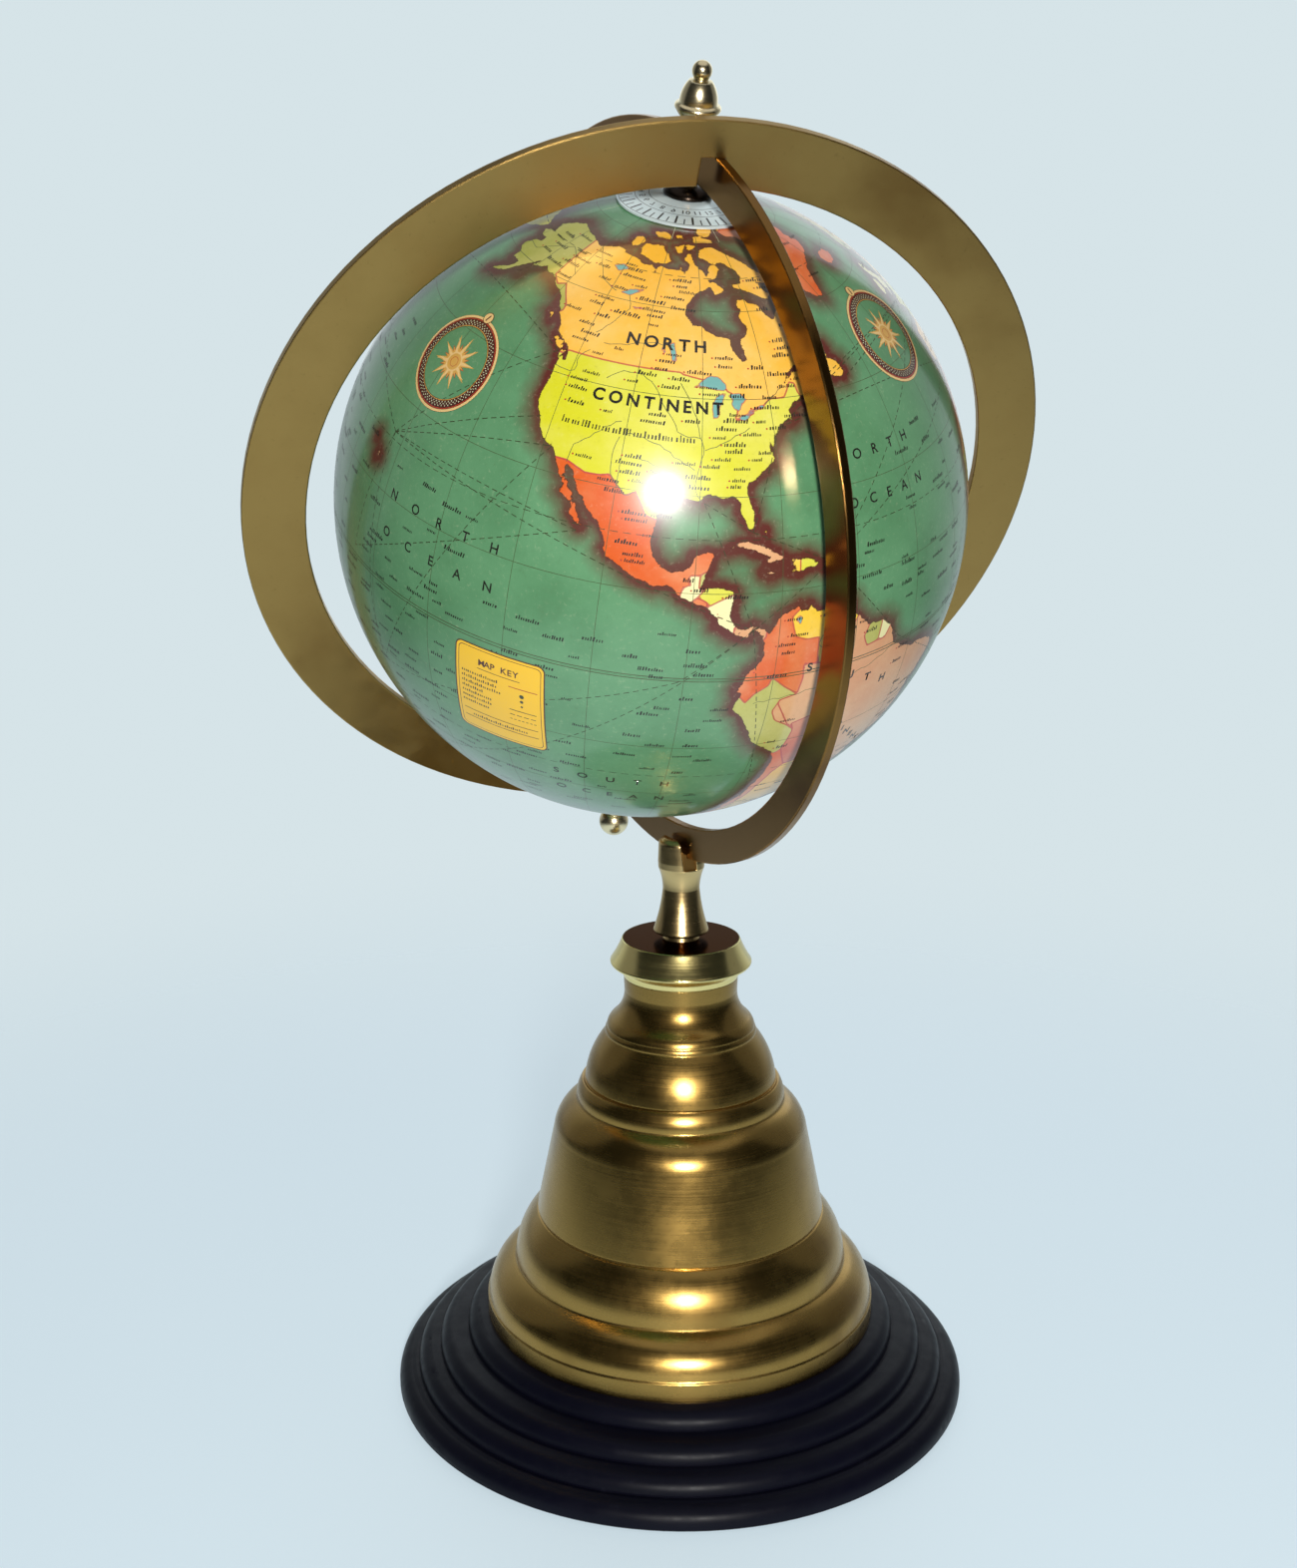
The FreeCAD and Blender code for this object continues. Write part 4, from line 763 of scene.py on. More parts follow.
def paper_map():
    """Varnished paper map, coloured by the distances that its mesh carries."""
    paint = Paint("paper_map")

    def carried(name):
        """A value that the mesh carries at each vertex."""
        return paint.node("ShaderNodeAttribute", attribute_name=name).outputs["Fac"]

    ragged = paint.math("MULTIPLY", paint.math("SUBTRACT", paint.noise(420.0, 4.0, 0.62), 0.5), 2.2)
    coast = paint.math("ADD", carried("land"), ragged)
    shore = paint.math("ADD", carried("lake"), paint.math("MULTIPLY", ragged, 0.5))
    uneven = paint.noise(34.0, 4.0, 0.6)

    land = TINTS["tan"]
    line = FAR_FROM_LINES
    for tint, colour in TINTS.items():
        distance = paint.math("ADD", carried(tint), paint.math("MULTIPLY", ragged, 0.12))
        land = paint.mix(paint.math("GREATER_THAN", distance, -0.1), land, colour)
        line = paint.math("MINIMUM", line, paint.math("ABSOLUTE", distance))
    land = paint.fleck(land, uneven, 0.35, 0.7, 0.22, rgb(250, 240, 190))
    land = paint.fleck(land, line, BORDER_FADE, BORDER_HALF, 0.8, BORDER_INK)
    land = paint.mix(paint.math("GREATER_THAN", shore, 0.0), land, LAKE)
    rim = paint.math("LESS_THAN", paint.math("ABSOLUTE", shore), BORDER_HALF)
    land = paint.mix(paint.math("MULTIPLY", rim, 0.6), land, BORDER_INK)

    sea = paint.mix(paint.span(uneven, 0.3, 0.75), SEA, DEEP_SEA)
    soft = paint.math("ADD", coast, paint.math("MULTIPLY", paint.math("SUBTRACT", uneven, 0.5), 5.0))
    shade = paint.math("POWER", paint.span(soft, -7.6, -1.4, smooth=False), 1.25, clamp=True)
    strength = paint.span(paint.noise(16.0, 2.0), 0.32, 0.6, 0.8, 1.0)
    sea = paint.mix(paint.math("MULTIPLY", shade, strength), sea, COAST_SHADE)

    colour = paint.mix(paint.math("GREATER_THAN", coast, 0.0), sea, land)
    edge = paint.math("LESS_THAN", paint.math("ABSOLUTE", coast), COAST_HALF)
    colour = paint.mix(paint.math("MULTIPLY", edge, 0.7), colour, COAST_INK)
    aged = paint.noise(700.0, 4.0, 0.75)
    colour = paint.fleck(colour, aged, 0.55, 0.8, 0.22, rgb(74, 70, 40))
    colour = paint.fleck(colour, aged, 0.45, 0.25, 0.12, rgb(240, 236, 200))
    ripple = paint.noise(45.0, 2.0, 0.5)
    normal = paint.bump(ripple, 0.0004, 0.12)
    normal = paint.bump(paint.noise(1300.0, 2.0), 0.00002, 0.2, normal)
    paint.set(Base_Color=colour, Normal=normal, **VARNISH)
    return paint.material


COLUMNS = 600
OUTER_ROWS = 150
INNER_ROWS = 8
SHARP_ANGLE = math.radians(40.0)


def half_globe(name, side, material):
    """Closed half shell whose outer vertices carry their distances to the map's outlines."""
    low = math.degrees(math.asin(HALF_SEAM / RADIUS))
    high = math.degrees(math.acos(POLE_HOLE / RADIUS))
    outer_lats = np.linspace(low, high, OUTER_ROWS + 1)
    inner_lats = np.linspace(high, low, INNER_ROWS + 1)
    lats = np.concatenate([outer_lats, inner_lats]) * side
    radii = np.repeat([RADIUS, RADIUS - SHELL_WALL], [OUTER_ROWS + 1, INNER_ROWS + 1])
    lons = np.linspace(-180.0, 180.0, COLUMNS, endpoint=False)
    lon, lat = (grid.ravel() for grid in np.meshgrid(lons, lats))
    points = directions(lon, lat)
    corners = CENTRE + points * np.repeat(radii, COLUMNS)[:, None]

    rows = len(lats)
    here = np.arange(rows * COLUMNS).reshape(rows, COLUMNS)
    beside = np.roll(here, -1, axis=1)
    above = np.roll(here, -1, axis=0)
    across = np.roll(beside, -1, axis=0)
    order = (here, beside, across, above) if side > 0 else (here, above, across, beside)
    faces = np.stack([grid.ravel() for grid in order], axis=1)

    mesh = bpy.data.meshes.new(name)
    mesh.from_pydata(corners.tolist(), [], faces.tolist())
    mesh.shade_smooth()
    mesh.set_sharp_from_angle(angle=SHARP_ANGLE)
    mesh.materials.append(material)

    printed = (OUTER_ROWS + 1) * COLUMNS
    lon, lat, points = lon[:printed], lat[:printed], points[:printed]
    fields = {
        "land": union_distance(LAND, lon, lat, points),
        "lake": union_distance(LAKES, lon, lat, points),
    }
    tints = {tint: np.full(printed, -REACH) for tint in TINTS}
    for tint, border in REGIONS:
        region = signed_distance(border, lon, lat, points)
        for other, field in tints.items():
            if other == tint:
                np.maximum(field, region, out=field)
            else:
                np.minimum(field, -region, out=field)
    fields.update(tints)
    for label, field in fields.items():
        values = np.full(len(corners), -REACH, dtype=np.float32)
        values[:printed] = field
        mesh.attributes.new(label, "FLOAT", "POINT").data.foreach_set("value", values)

    half = add_object(name, mesh)
    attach(half, "globe")
    return half


map_paint = paper_map()
map_north = half_globe("map_north", 1, map_paint)
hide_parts("globe_north")
map_south = half_globe("map_south", -1, map_paint)
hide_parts("globe_south")


# ---------------------------------------------------------------- prints on the map
def ink(name, colour, worn=0.25):
    """Printing ink under the same varnish, a little uneven."""
    paint = Paint(name)
    specks = paint.noise(1500.0, 3.0, 0.7)
    faded = tuple(channel + (0.35 - channel) * 0.5 for channel in colour)
    paint.set(Base_Color=paint.fleck(colour, specks, 0.5, 0.75, worn, faded), **VARNISH)
    return paint.material


INKS = {
    "black": ink("black_ink", rgb(30, 28, 24)),
    "grid": ink("grid_ink", rgb(70, 84, 52)),
    "route": ink("route_ink", rgb(52, 60, 34)),
    "river": ink("river_ink", rgb(96, 104, 62)),
    "pale": ink("pale_ink", rgb(198, 206, 168)),
    "cream": ink("cream_ink", rgb(224, 190, 128)),
    "gold": ink("gold_ink", rgb(206, 160, 78)),
    "maroon": ink("maroon_ink", rgb(74, 36, 30)),
    "red": ink("red_ink", rgb(170, 62, 40)),
    "key": ink("key_yellow", rgb(242, 192, 36), 0.1),
}


def path_points(marks, travelled, path):
    """Points on a path, at distances along it."""
    return np.stack([np.interp(marks, travelled, path[:, axis]) for axis in range(3)], axis=1)


SHORTEST_DASH = 0.3      # in millimetres, like all sizes and lifts of the prints
LONGEST_STEP = 1.8


class Print:
    """Flat shapes laid close over the globe or the dial and gathered into one mesh."""

    def __init__(self, name, inks, body="globe", base=RADIUS):
        self.name = name
        self.inks = inks
        self.body = body
        self.base = base
        self.points = []
        self.faces = []
        self.colours = []

    def lay(self, vectors, faces, colour, lift):
        """Adds faces between unit vectors, a lift in millimetres above the surface."""
        first = len(self.points)
        self.points.extend((CENTRE + unit(np.asarray(vectors)) * (self.base + lift * MM)).tolist())
        self.faces.extend([[first + corner for corner in face] for face in faces])
        self.colours.extend([self.inks.index(colour)] * len(faces))

    def strip(self, left, right, colour, lift):
        """A band between two rows of unit vectors."""
        count = len(left)
        faces = [(i + 1, i, count + i, count + i + 1) for i in range(count - 1)]
        self.lay(np.vstack([left, right]), faces, colour, lift)

    def ribbon(self, path, width, colour, lift, dash=0.0, gap=0.0):
        """A line or row of dashes along a path of unit vectors, sizes in millimetres."""
        steps = np.linalg.norm(np.diff(path, axis=0), axis=1) * RADIUS_MM
        travelled = np.concatenate([[0.0], np.cumsum(steps)])
        total = travelled[-1]
        starts = np.arange(0.0, total, dash + gap) if dash else [0.0]
        for start in starts:
            end = min(total, start + dash) if dash else total
            if end - start < SHORTEST_DASH:
                continue
            marks = np.linspace(start, end, max(2, int((end - start) / LONGEST_STEP) + 2))
            line = unit(path_points(marks, travelled, path))
            ahead = np.gradient(line, axis=0)
            side = unit(np.cross(line, ahead)) * width / 2 / RADIUS_MM
            self.strip(line + side, line - side, colour, lift)

    def finish(self):
        """Puts what was laid into the scene, on the body that it rides."""
        mesh = bpy.data.meshes.new(self.name)
        mesh.from_pydata(self.points, [], self.faces)
        for name in self.inks:
            mesh.materials.append(INKS[name])
        mesh.polygons.foreach_set("material_index", self.colours)
        mesh.shade_smooth()
        made = add_object(self.name, mesh)
        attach(made, self.body)


def spot(lon, lat, x, y):
    """Unit vectors at x millimetres east and y north of a place."""
    centre = directions(lon, lat)
    east = unit(np.cross(POLE, centre))
    north = np.cross(centre, east)
    x = np.asarray(x, dtype=float)[..., None]
    y = np.asarray(y, dtype=float)[..., None]
    return unit(centre * RADIUS_MM + east * x + north * y)


def rotated(out, over, turn):
    """Lengths outwards and sideways, turned about the middle."""
    return out * np.cos(turn) - over * np.sin(turn), out * np.sin(turn) + over * np.cos(turn)


RAY_TIP = 0.04           # half the width of a ray's tip


class Patch:
    """The part of a print round one place, drawn by lengths east and north of it.

    The lengths are in millimetres, or in shares of a scale that is in millimetres.
    """

    def __init__(self, sheet, lon, lat, scale=1.0):
        self.sheet = sheet
        self.place = (lon, lat)
        self.scale = scale

    def at(self, x, y):
        """Unit vectors towards points of the patch."""
        return spot(*self.place, np.multiply(x, self.scale), np.multiply(y, self.scale))

    def circle(self, x, y, radius, count):
        """Unit vectors round a circle, the last on top of the first."""
        turn = np.linspace(0.0, 2 * np.pi, count)
        return self.at(x + radius * np.cos(turn), y + radius * np.sin(turn))

    def band(self, inner, outer, colour, lift, count=96):
        """A flat ring round the place."""
        within, outside = (self.circle(0, 0, radius, count) for radius in (inner, outer))
        self.sheet.strip(within, outside, colour, lift)

    def disc(self, x, y, radius, colour, lift, count=40):
        """A filled circle whose faces follow the globe's roundness."""
        rings = [self.circle(x, y, radius * share, count) for share in (1.0, 0.66, 0.33, 0.04)]
        for outside, within in zip(rings, rings[1:]):
            self.sheet.strip(within, outside, colour, lift)
        self.sheet.lay(within[:-1], [tuple(range(count - 1))], colour, lift)

    def ray(self, turn, inner, outer, width, colour, lift, sway=0.0):
        """A tapering ray out of the middle, wavy where it sways."""
        share = np.linspace(0.0, 1.0, 10)
        distance = inner + (outer - inner) * share
        half = width / 2 * (1 - share) + RAY_TIP / self.scale
        bend = sway * np.sin(share * 2.5 * np.pi) * (0.4 + 0.6 * share)
        left, right = (self.at(*rotated(distance, bend + side, turn)) for side in (half, -half))
        self.sheet.strip(left, right, colour, lift)

    def diamonds(self, count, radius, offset, size, colour, lift):
        """A ring of small diamonds that point outwards."""
        out = np.array([size, 0.0, -size, 0.0]) + radius
        over = np.array([0.0, size, 0.0, -size]) * 0.72
        for step in range(count):
            turn = 2 * np.pi * (step + offset) / count
            self.sheet.lay(self.at(*rotated(out, over, turn)), [(0, 3, 2, 1)], colour, lift)

    def rounded_box(self, half_width, half_height, corner, colour, lift):
        """A box with round corners, in columns that follow the globe's roundness."""
        arc = np.linspace(0, np.pi / 2, 6)
        straight = np.linspace(-half_height + corner, half_height - corner, 12)[1:-1]
        heights = np.concatenate([-half_height + corner * (1 - np.cos(arc)), straight,
                                  half_height - corner * (1 - np.sin(arc))])
        over = np.maximum(0.0, np.abs(heights) - (half_height - corner))
        widths = half_width - corner + np.sqrt(np.maximum(0.0, corner ** 2 - over ** 2))
        columns = [self.at(widths * share, heights) for share in np.linspace(-1.0, 1.0, 14)]
        for left, right in zip(columns, columns[1:]):
            self.sheet.strip(left, right, colour, lift)

    def bar(self, x, y, width, height, colour, lift):
        """A long box in short steps, from its lower left corner."""
        steps = np.linspace(x, x + width, max(2, int(width / 3) + 2))
        low, high = (self.at(steps, np.full(len(steps), side)) for side in (y, y + height))
        self.sheet.strip(high, low, colour, lift)


def great_circle(start, end):
    """The shortest way between two places, in steps of about a degree."""
    first, last = directions(*start), directions(*end)
    angle = np.arccos(np.clip(first @ last, -1.0, 1.0))
    steps = np.linspace(0.0, 1.0, max(3, int(np.degrees(angle))))[:, None]
    return unit((np.sin((1 - steps) * angle) * first + np.sin(steps * angle) * last) / np.sin(angle))


def meridian(lon, low, high):
    """A path northwards along one longitude."""
    lats = np.arange(low, high + 0.1, 1.0)
    return directions(np.full(len(lats), float(lon)), lats)


def parallel(lat):
    """A path once round the globe along one latitude."""
    lons = np.arange(-180.0, 180.1, 1.0)
    return directions(lons, np.full(len(lons), float(lat)))


GRID_STEP = 15
# Width, ink and lift of each kind of line, and the length of its dashes and gaps.
LINES = {
    "grid": (0.16, "grid", 0.02),
    # The pale lines between the meridians are a painted highlight on the gore seams.
    "between": (0.12, "pale", 0.015),
    "tropic": (0.2, "route", 0.025, 2.2, 1.4),
    "equator": (0.28, "grid", 0.025),
    "route": (0.24, "route", 0.035, 1.7, 1.1),
    "river": (0.2, "river", 0.03),
}


def grid_lines():
    """Meridians, parallels, dashed tropics, the equator's double line, and pale gore seam lines that
    are a painted highlight.
    """
    grid = Print("map_grid", ["grid", "route", "pale"])
    for lon in range(-180, 180, GRID_STEP):
        limit = 86 if lon % 45 == 0 else 75
        grid.ribbon(meridian(lon, -limit, limit), *LINES["grid"])
    for lat in range(-75, 76, GRID_STEP):
        if lat:
            grid.ribbon(parallel(lat), *LINES["grid"])
    for lat in (-66.5, -23.4, 23.4, 66.5):
        grid.ribbon(parallel(lat), *LINES["tropic"])
    for lat in (-0.28, 0.28):
        grid.ribbon(parallel(lat), *LINES["equator"])
    # Pale lines on the gore seams every 30 degrees: a painted highlight where the paper overlaps.
    for lon in range(-165, 180, 30):
        grid.ribbon(meridian(lon, -84, 84), *LINES["between"])
    grid.finish()


def sea_routes():
    """Dashed shipping lines between ports."""
    routes = Print("sea_routes", ["route"])
    for route in ROUTES:
        start, end = route.split("-")
        routes.ribbon(great_circle(PORTS[start], PORTS[end]), *LINES["route"])
    routes.finish()


def river_lines():
    """Thin wavering lines for the great rivers."""
    rivers = Print("rivers", ["river"])
    for _, bends in RIVERS:
        path = directions(bends[:, 0], bends[:, 1])
        share = np.linspace(0, len(bends) - 1, len(bends) * 6)
        wave = np.sin(share * 9.0) * 0.004
        wavy = unit(path_points(share, range(len(bends)), path)) + wave[:, None] * POLE
        rivers.ribbon(unit(wavy), *LINES["river"])
    rivers.finish()


FONT_SIZE = 1.39         # of letters whose capitals are 1 high
WORD_LIFT = 0.06
NAME_LIFT = 0.05


def glyph(character, size, weight=0.0):
    """Outline faces of one character, in millimetres, centred on its own width."""
    curve = bpy.data.curves.new("glyph", "FONT")
    curve.body = character
    curve.size = size * FONT_SIZE
    curve.offset = weight
    curve.resolution_u = 4
    holder = bpy.data.objects.new("glyph", curve)
    mesh = bpy.data.meshes.new_from_object(holder)
    points = np.array([vertex.co[:2] for vertex in mesh.vertices])
    faces = [tuple(polygon.vertices) for polygon in mesh.polygons]
    bpy.data.meshes.remove(mesh)
    bpy.data.objects.remove(holder)
    bpy.data.curves.remove(curve)
    points[:, 0] -= (points[:, 0].min() + points[:, 0].max()) / 2
    return points, faces


def spaced_word(sheet, text, start, end, size, weight):
    """Capitals spread from one place to another with equal gaps between them."""
    shapes = [glyph(character, size, weight) for character in text]
    widths = np.array([np.ptp(points[:, 0]) for points, _ in shapes])
    run = np.linalg.norm(directions(*start) - directions(*end)) * RADIUS_MM
    gap = (run - widths.sum()) / (len(text) - 1)
    middles = np.cumsum(widths + gap) - gap - widths / 2
    for (points, faces), share in zip(shapes, middles / run):
        lon, lat = np.array(start) + (np.array(end) - np.array(start)) * share
        sheet.lay(spot(lon, lat, points[:, 0], points[:, 1] - size / 2), faces, "black", WORD_LIFT)


def pretend_word(sheet, rng, lon, lat, letters, height, slant=0.0, bold=0.28):
    """A row of small strokes that stands in for a place name."""
    x = 0.0
    for _ in range(letters):
        tall = height * rng.choice([0.62, 0.62, 0.7, 1.0])
        wide = bold * height * rng.uniform(0.8, 1.5)
        lean = slant * tall
        corners = ([x, x + wide, x + wide + lean, x + lean], [0, 0, tall, tall])
        sheet.lay(spot(lon, lat, *corners), [(0, 1, 2, 3)], "black", NAME_LIFT)
        x += wide + height * rng.uniform(0.16, 0.34)


# West, east, south and north edge in degrees, and a quarter of the places that are tried.
NAME_ZONES = [
    (-128, -66, 46, 66, 90), (-122, -72, 29, 47, 120), (-112, -88, 15, 30, 36), (-90, -78, 8, 15, 8),
    (-78, -48, -8, 10, 26), (-76, -40, -34, -10, 30), (-74, -58, -52, -36, 8), (-160, -140, 60, 69, 6),
    (-86, -62, 14, 24, 12), (-54, -22, 62, 80, 10), (-8, 40, 38, 62, 40), (-14, 48, 4, 32, 34),
    (12, 42, -32, 2, 24), (40, 100, 26, 62, 44), (74, 86, 10, 26, 12), (98, 130, 22, 60, 30),
    (60, 170, 58, 72, 30), (116, 150, -36, -14, 26), (96, 140, -8, 16, 18), (-150, -110, 50, 74, 14),
]
SEA_ZONES = [(-175, -130, -30, 22, 46), (-128, -84, -40, 8, 34), (-66, -20, -30, 36, 34),
             (-10, 10, -50, -5, 12), (50, 100, -45, 0, 26), (150, 190, -30, 40, 44)]

# Word, longitude and latitude of its start and of its end, height and weight.
WORDS = [
    ("NORTH", -109.6, 53.6, -89.0, 53.6, 3.6, 0.14),
    ("CONTINENT", -113.5, 43.6, -85.5, 43.6, 3.4, 0.14),
    ("SOUTH", -69.0, 1.0, -50.0, -7.0, 2.8, 0.12),
    ("CONTINENT", -65.0, -9.0, -47.5, -24.0, 2.4, 0.12),
    ("NORTH", -63.0, 34.4, -42.0, 34.4, 3.0, 0.05),
    ("OCEAN", -61.0, 27.0, -41.0, 27.0, 3.0, 0.05),
    ("NORTH", -148.0, 16.0, -123.0, 16.0, 3.0, 0.05),
    ("OCEAN", -148.0, 9.5, -123.0, 9.5, 3.0, 0.05),
    ("SOUTH", -111.0, -26.0, -89.0, -26.0, 3.0, 0.05),
    ("OCEAN", -111.0, -32.0, -89.0, -32.0, 3.0, 0.05),
    ("SOUTH", -27.0, -14.0, -7.0, -14.0, 3.0, 0.05),
    ("OCEAN", -27.0, -20.0, -7.0, -20.0, 3.0, 0.05),
    ("CONTINENT", -2.0, 20.0, 36.0, 12.0, 2.8, 0.14),
    ("CONTINENT", 60.0, 54.0, 120.0, 50.0, 3.2, 0.14),
    ("CONTINENT", 118.0, -25.0, 148.0, -25.0, 2.4, 0.12),
    ("OCEAN", 65.0, -18.0, 93.0, -18.0, 3.0, 0.05),
    ("OCEAN", 157.0, 20.0, 183.0, 20.0, 3.0, 0.05),
]
STROKE_ROW = ("", -119.0, 38.4, -91.0, 37.4, 2.0, 0.0)
WORD_MARGIN = (1.0, 1.8)     # kept clear round a large word, in degrees east and north
NAME_LENGTH = 5.6            # room for a name, in degrees along the equator
NAME_RISE = 0.95
NAME_HEIGHTS = [1.0, 1.2, 1.35]
NAME_SLANT = 0.15


def covers_word(lon, lat):
    """Whether a short name that starts here would run over a large word."""
    beside, above = WORD_MARGIN
    return any(west - NAME_LENGTH < lon < east + beside and south - above < lat < north + above
               for _, west, north, east, south, _, _ in [*WORDS, STROKE_ROW])


def scattered(rng, zones):
    """Places in random order that keep clear of each other and of the large words."""
    kept = []
    for west, east, south, north, count in zones:
        for lon, lat in rng.uniform((west, south), (east, north), (count * 4, 2)):
            length = NAME_LENGTH * 0.75 / math.cos(math.radians(lat))
            crowded = any(abs(lon - x) < length and abs(lat - y) < NAME_RISE for x, y in kept)
            if not crowded and not covers_word(lon, lat):
                kept.append((lon, lat))
    return np.array(kept)


def place_names():
    """Small strokes in place of the printed names, with town circles beside some of them."""
    rng = np.random.default_rng(11)
    names = Print("place_names", ["black", "red"])
    for zones, least, most in ((NAME_ZONES, 1.0, REACH), (SEA_ZONES, -REACH, -3.0)):
        places = scattered(rng, zones)
        inland = union_distance(LAND, *places.T, directions(*places.T))
        for (lon, lat), distance in zip(places, inland):
            if not least <= distance <= most:
                continue
            letters = int(rng.integers(5, 11))
            pretend_word(names, rng, lon, lat, letters, rng.choice(NAME_HEIGHTS), NAME_SLANT)
            if distance > 0 and rng.random() < 0.6:
                town = Patch(names, lon, lat).circle(-0.8, 0.35, 0.28, 9)[:-1]
                names.lay(town, [tuple(range(8))], "red", NAME_LIFT)
    names.finish()


def large_words():
    """Plain words spread over the continents and oceans, and one row of strokes."""
    rng = np.random.default_rng(3)
    words = Print("large_words", ["black"])
    for text, west, north, east, south, size, weight in WORDS:
        spaced_word(words, text, (west, north), (east, south), size, weight)
    for lon in np.linspace(-118.0, -93.0, 13):
        pretend_word(words, rng, lon, 38.0, 3, 1.9, bold=0.17)
    words.finish()


ROSE_RAYS = 10
# Inner and outer edge as shares of the rose's radius, ink and lift.
ROSE_BANDS = [(0.745, 1.0, "maroon", 0.08), (0.945, 0.995, "cream", 0.1), (0.915, 0.935, "red", 0.1),
              (0.755, 0.768, "gold", 0.1)]


def compass_rose(sheet, lon, lat, radius, knob_turn):
    """A small plain sun inside a dark ring of diamonds with a pale rim and a knob."""
    rose = Patch(sheet, lon, lat, radius)
    for band in ROSE_BANDS:
        rose.band(*band)
    for share, offset in ((0.872, 0.0), (0.835, 0.5), (0.798, 0.0)):
        rose.diamonds(64, share, offset, 0.019, "pale", 0.1)

    for step in range(ROSE_RAYS):
        turn = 2 * np.pi * (step + 0.3) / ROSE_RAYS
        rose.ray(turn, 0.15, 0.55, 0.13, "gold", 0.09)
        rose.ray(turn + 0.02, 0.17, 0.5, 0.07, "cream", 0.1, 0.02 if step % 2 else 0.0)
        between = turn + np.pi / ROSE_RAYS
        rose.ray(between, 0.15, 0.36, 0.12, "red", 0.085)
        rose.ray(between, 0.15, 0.33, 0.07, "gold", 0.1)
    rose.disc(0, 0, 0.19, "gold", 0.12)
    rose.band(0.165, 0.2, "cream", 0.14, 40)
    rose.band(0.09, 0.1, "red", 0.14, 32)

    x, y = rotated(1.03, 0.0, knob_turn)
    rose.disc(x, y, 0.125, "maroon", 0.14, 28)
    rose.disc(x, y, 0.11, "cream", 0.16, 28)
    rise = np.array([-0.07, 0.07])
    slant = x + rise * 0.25
    left, right = (rose.at(slant + side, y + rise) for side in (-0.016, 0.016))
    sheet.strip(left, right, "maroon", 0.18)


def sun_roses():
    """Three compass roses, one in each ocean."""
    roses = Print("compass_roses", ["cream", "maroon", "gold", "red", "pale"])
    compass_rose(roses, -148.0, 39.5, 15.1, 1.55)
    compass_rose(roses, -29.5, 49.4, 15.5, 1.57)
    compass_rose(roses, 78.0, -38.0, 15.0, -1.6)
    roses.finish()


KEY_PLACE = (-120.5, -11.3)
KEY_LEFT = -12.4
KEY_LINE = 1.95
KEY_LIFT = 0.12
# Half width and height, corner radius, ink and lift of the boxes inside one another.
KEY_BOXES = [(14.9, 17.6, 2.4, "maroon", 0.06), (14.5, 17.2, 2.1, "key", 0.075),
             (13.7, 16.4, 1.6, "maroon", 0.085), (13.5, 16.2, 1.5, "key", 0.095)]


def stroke_line(panel, rng, x, end, y):
    """Upright strokes in a row that stand in for small print."""
    while x < end:
        width = rng.uniform(0.28, 0.45)
        panel.bar(x, y, width, rng.choice([0.75, 0.75, 1.1]), "black", KEY_LIFT)
        x += width + rng.uniform(0.25, 0.5)


def map_key():
    """The yellow box of map signs in the south Pacific."""
    rng = np.random.default_rng(5)
    key = Print("map_key", ["maroon", "key", "black", "red", "route"])
    panel = Patch(key, *KEY_PLACE)
    for box in KEY_BOXES:
        panel.rounded_box(*box)
    for character, x in zip("MAP KEY", np.linspace(-5.6, 5.6, 7)):
        if character == " ":
            continue
        points, faces = glyph(character, 2.2, 0.06)
        key.lay(panel.at(points[:, 0] + x, points[:, 1] + 10.9), faces, "maroon", KEY_LIFT)
    panel.bar(-7.0, 9.5, 14.0, 0.22, "maroon", KEY_LIFT)

    for row in range(7):
        stroke_line(panel, rng, KEY_LEFT, KEY_LEFT + rng.uniform(6.0, 13.5), 6.6 - row * KEY_LINE)
    panel.bar(3.4, 6.9, 9.2, 0.3, "red", KEY_LIFT)
    for step in range(3):
        panel.disc(7.6, 4.4 - step * 2.0, 0.75 - step * 0.18, "route", KEY_LIFT, 14)
    for row, (count, length) in enumerate(((1, 8.6), (4, 1.6), (7, 0.7))):
        for step in range(count):
            panel.bar(3.6 + step * 9.0 / count, -1.9 - row * KEY_LINE, length, 0.26, "black", KEY_LIFT)
    for y in (-8.6, -12.0):
        panel.bar(KEY_LEFT, y, -2 * KEY_LEFT, 0.25, "maroon", KEY_LIFT)
    stroke_line(panel, rng, KEY_LEFT + 3.0, 9.0, -10.9)
    key.finish()


DIAL_TICKS = 48
TICK_END = 20.3
LONG_TICK = (16.3, 0.30)     # inner end and half width
SHORT_TICK = (17.6, 0.18)
DIAL_CIRCLES = (11.4, 15.6, 20.55)
CIRCLE_HALF = 0.09
NUMBER_FOOT = 13.6
FIGURE_SIZE = 2.0
FIGURE_STEP = 1.45
DIAL_INK = ("black", 0.03)


def on_dial(out, over, turn):
    """Unit vectors towards millimetres outwards and sideways on the dial, turned about the pole."""
    x, y = rotated(out, over, turn)
    return unit(DIAL_TOP / MM * POLE + FRONT * x[..., None] + EAST * y[..., None])


def hour_number(figures):
    """Points and faces of a number, centred on where it stands."""
    points, faces = [], []
    for place, figure in enumerate(figures):
        shape, sides = glyph(figure, FIGURE_SIZE, 0.03)
        faces += [[len(points) + corner for corner in side] for side in sides]
        offset = (place - (len(figures) - 1) / 2) * FIGURE_STEP
        points += [(x + offset, y - FIGURE_SIZE / 2) for x, y in shape]
    return np.array(points), faces


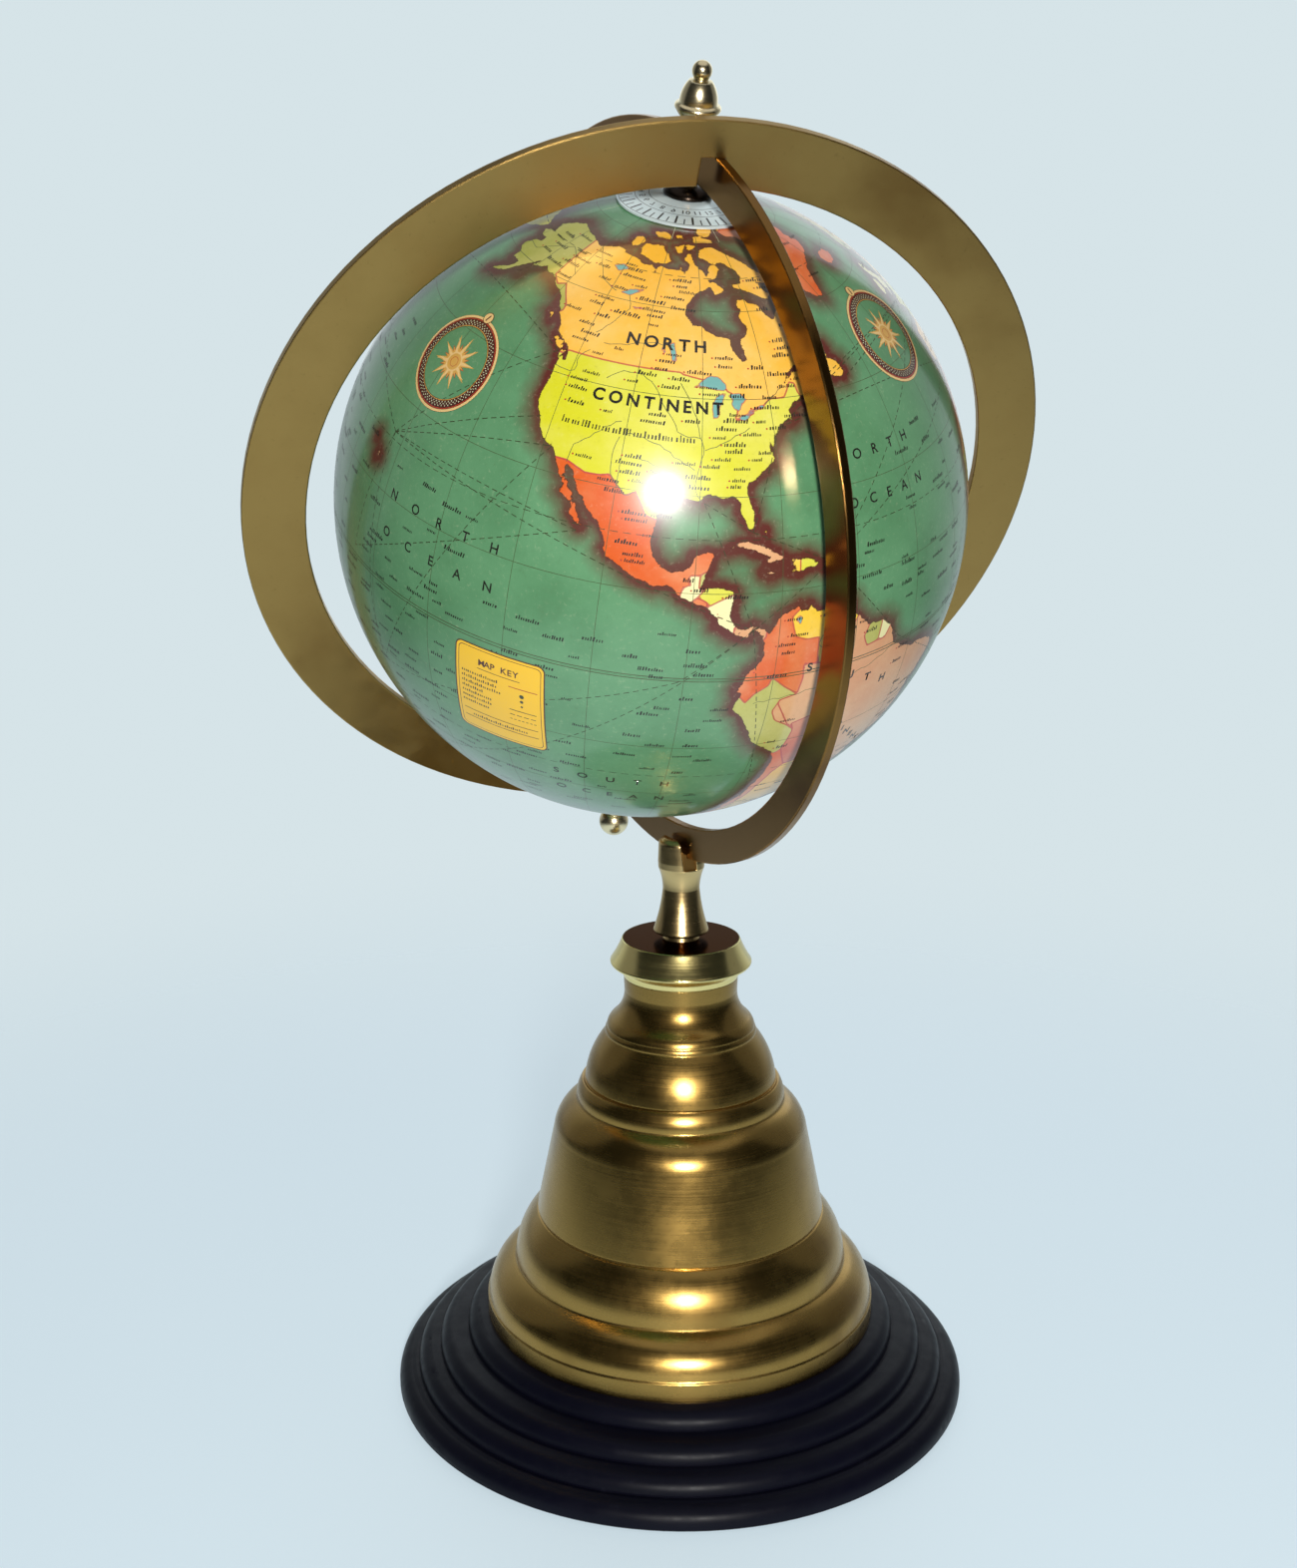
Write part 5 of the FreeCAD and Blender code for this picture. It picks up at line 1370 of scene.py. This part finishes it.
def dial_marks():
    """Ticks and plain hour numbers round the dial."""
    marks = Print("dial_marks", ["black"], "dial", DIAL_TOP)
    for step in range(DIAL_TICKS):
        turn = 2 * math.pi * step / DIAL_TICKS
        inner, half = LONG_TICK if step % 2 else SHORT_TICK
        reach = np.array([inner, (inner + TICK_END) / 2, TICK_END])
        marks.strip(on_dial(reach, half, turn), on_dial(reach, -half, turn), *DIAL_INK)
    for hour in range(24):
        points, faces = hour_number(str(hour % 12 or 12))
        turn = 2 * math.pi * hour / 24
        marks.lay(on_dial(NUMBER_FOOT + points[:, 1], points[:, 0], turn), faces, *DIAL_INK)
    way_round = np.linspace(0, 2 * math.pi, 97)
    for middle in DIAL_CIRCLES:
        edges = (on_dial(middle + side, 0.0, way_round) for side in (-CIRCLE_HALF, CIRCLE_HALF))
        marks.strip(*edges, *DIAL_INK)
    marks.finish()


grid_lines()
sea_routes()
river_lines()
place_names()
large_words()
sun_roses()
map_key()
dial_marks()

# ---------------------------------------------------------------- floor, light and camera
FLOOR_SIZE = 1.5
FLOOR_GLOW = 0.62
FLOOR_FADE = 0.22        # where the floor starts to fade, from its middle
DIM_SIDE = 0.02          # surroundings as reflections find them, near the camera
BRIGHT_SIDE = 0.6        # the same behind the object
SEEN_STRENGTH = 0.84     # surroundings as the camera sees them
SENSOR_WIDTH = 36.0
LENS = 42.43
CAMERA_PLACE = (0.0, -0.6108, 0.35895)
CAMERA_FORWARD = (-0.01791, 0.97400, -0.22582)
WARM = (1.0, 0.98, 0.94)
WHITE = (1.0, 1.0, 1.0)
COOL = (0.93, 0.97, 1.0)
# Name, direction from the globe, distance, diameter, watts and tint.
LIGHTS = [
    ("front", (0.089, -0.986, 0.139), 1.2, 0.15, 16.0, WARM),
    ("ceiling", (0.1, -0.1, 1.0), 1.4, 2.0, 5.0, WHITE),
    ("left_side", (-1.0, 0.6, 0.5), 1.7, 2.2, 2.2, COOL),
    ("right_side", (1.0, 0.7, 0.4), 1.7, 2.2, 1.9, COOL),
    ("behind", (0.1, 1.0, 0.5), 1.7, 2.2, 7.0, COOL),
]


def studio_floor():
    """Pale floor that the object stands on, faded out into the pale surroundings."""
    half = FLOOR_SIZE / 2
    mesh = bpy.data.meshes.new("floor")
    mesh.from_pydata([(-half, -half, 0), (half, -half, 0), (half, half, 0), (-half, half, 0)],
                     [], [(0, 1, 2, 3)])
    floor = add_object("floor", mesh)
    paint = Paint("pale_floor")
    clouds = paint.noise(3.0, 3.0)
    distance = paint.node("ShaderNodeVectorMath", operation="LENGTH")
    paint.feed(distance.inputs[0], paint.place)
    paint.set(Base_Color=paint.mix(clouds, rgb(146, 156, 162), rgb(152, 162, 168)), Roughness=0.6,
              Emission_Color=(0.66, 0.80, 0.88, 1.0), Emission_Strength=FLOOR_GLOW,
              Alpha=paint.span(distance.outputs["Value"], FLOOR_FADE, half, 1.0, 0.0))
    mesh.materials.append(paint.material)


def pale_surroundings():
    """Pale on all sides to the eye; reflections find it dimmer on the camera's side."""
    world = bpy.data.worlds.new("pale_surroundings")
    world.use_nodes = True
    tree = world.node_tree
    background = tree.nodes["Background"]

    towards = tree.nodes.new("ShaderNodeTexCoord")
    parts = tree.nodes.new("ShaderNodeSeparateXYZ")
    depth = tree.nodes.new("ShaderNodeMapRange")
    ends = {"From Min": 0.42, "From Max": 0.95, "To Min": DIM_SIDE, "To Max": BRIGHT_SIDE}
    for name, value in ends.items():
        depth.inputs[name].default_value = value
    tree.links.new(towards.outputs["Generated"], parts.inputs[0])
    tree.links.new(parts.outputs["Y"], depth.inputs["Value"])

    seen = tree.nodes.new("ShaderNodeLightPath")
    strength = tree.nodes.new("ShaderNodeMix")
    strength.inputs[3].default_value = SEEN_STRENGTH
    tree.links.new(seen.outputs["Is Camera Ray"], strength.inputs[0])
    tree.links.new(depth.outputs["Result"], strength.inputs[2])
    tree.links.new(strength.outputs[0], background.inputs["Strength"])
    background.inputs["Color"].default_value = (0.80, 0.92, 0.96, 1.0)
    bpy.context.scene.world = world


def soft_light(name, towards, distance, size, power, tint):
    """A round light that faces the globe from a direction."""
    data = bpy.data.lights.new(name, "AREA")
    data.shape = "DISK"
    data.size = size
    data.energy = power
    data.color = tint
    lamp = add_object(name, data)
    direction = Vector(towards).normalized()
    lamp.location = Vector(CENTRE) + direction * distance
    lamp.rotation_euler = direction.to_track_quat("Z", "Y").to_euler()


def studio_camera():
    """Close, slightly raised view from the front."""
    data = bpy.data.cameras.new("camera")
    data.sensor_width = SENSOR_WIDTH
    data.lens = LENS
    camera = add_object("camera", data)
    forward = Vector(CAMERA_FORWARD).normalized()
    right = forward.cross(Vector((0, 0, 1))).normalized()
    up = right.cross(forward)
    axes = Matrix((right, up, -forward)).transposed().to_4x4()
    camera.matrix_world = Matrix.Translation(CAMERA_PLACE) @ axes
    bpy.context.scene.camera = camera


studio_floor()
pale_surroundings()
for light in LIGHTS:
    soft_light(*light)
studio_camera()
bpy.context.scene.view_settings.view_transform = "Standard"
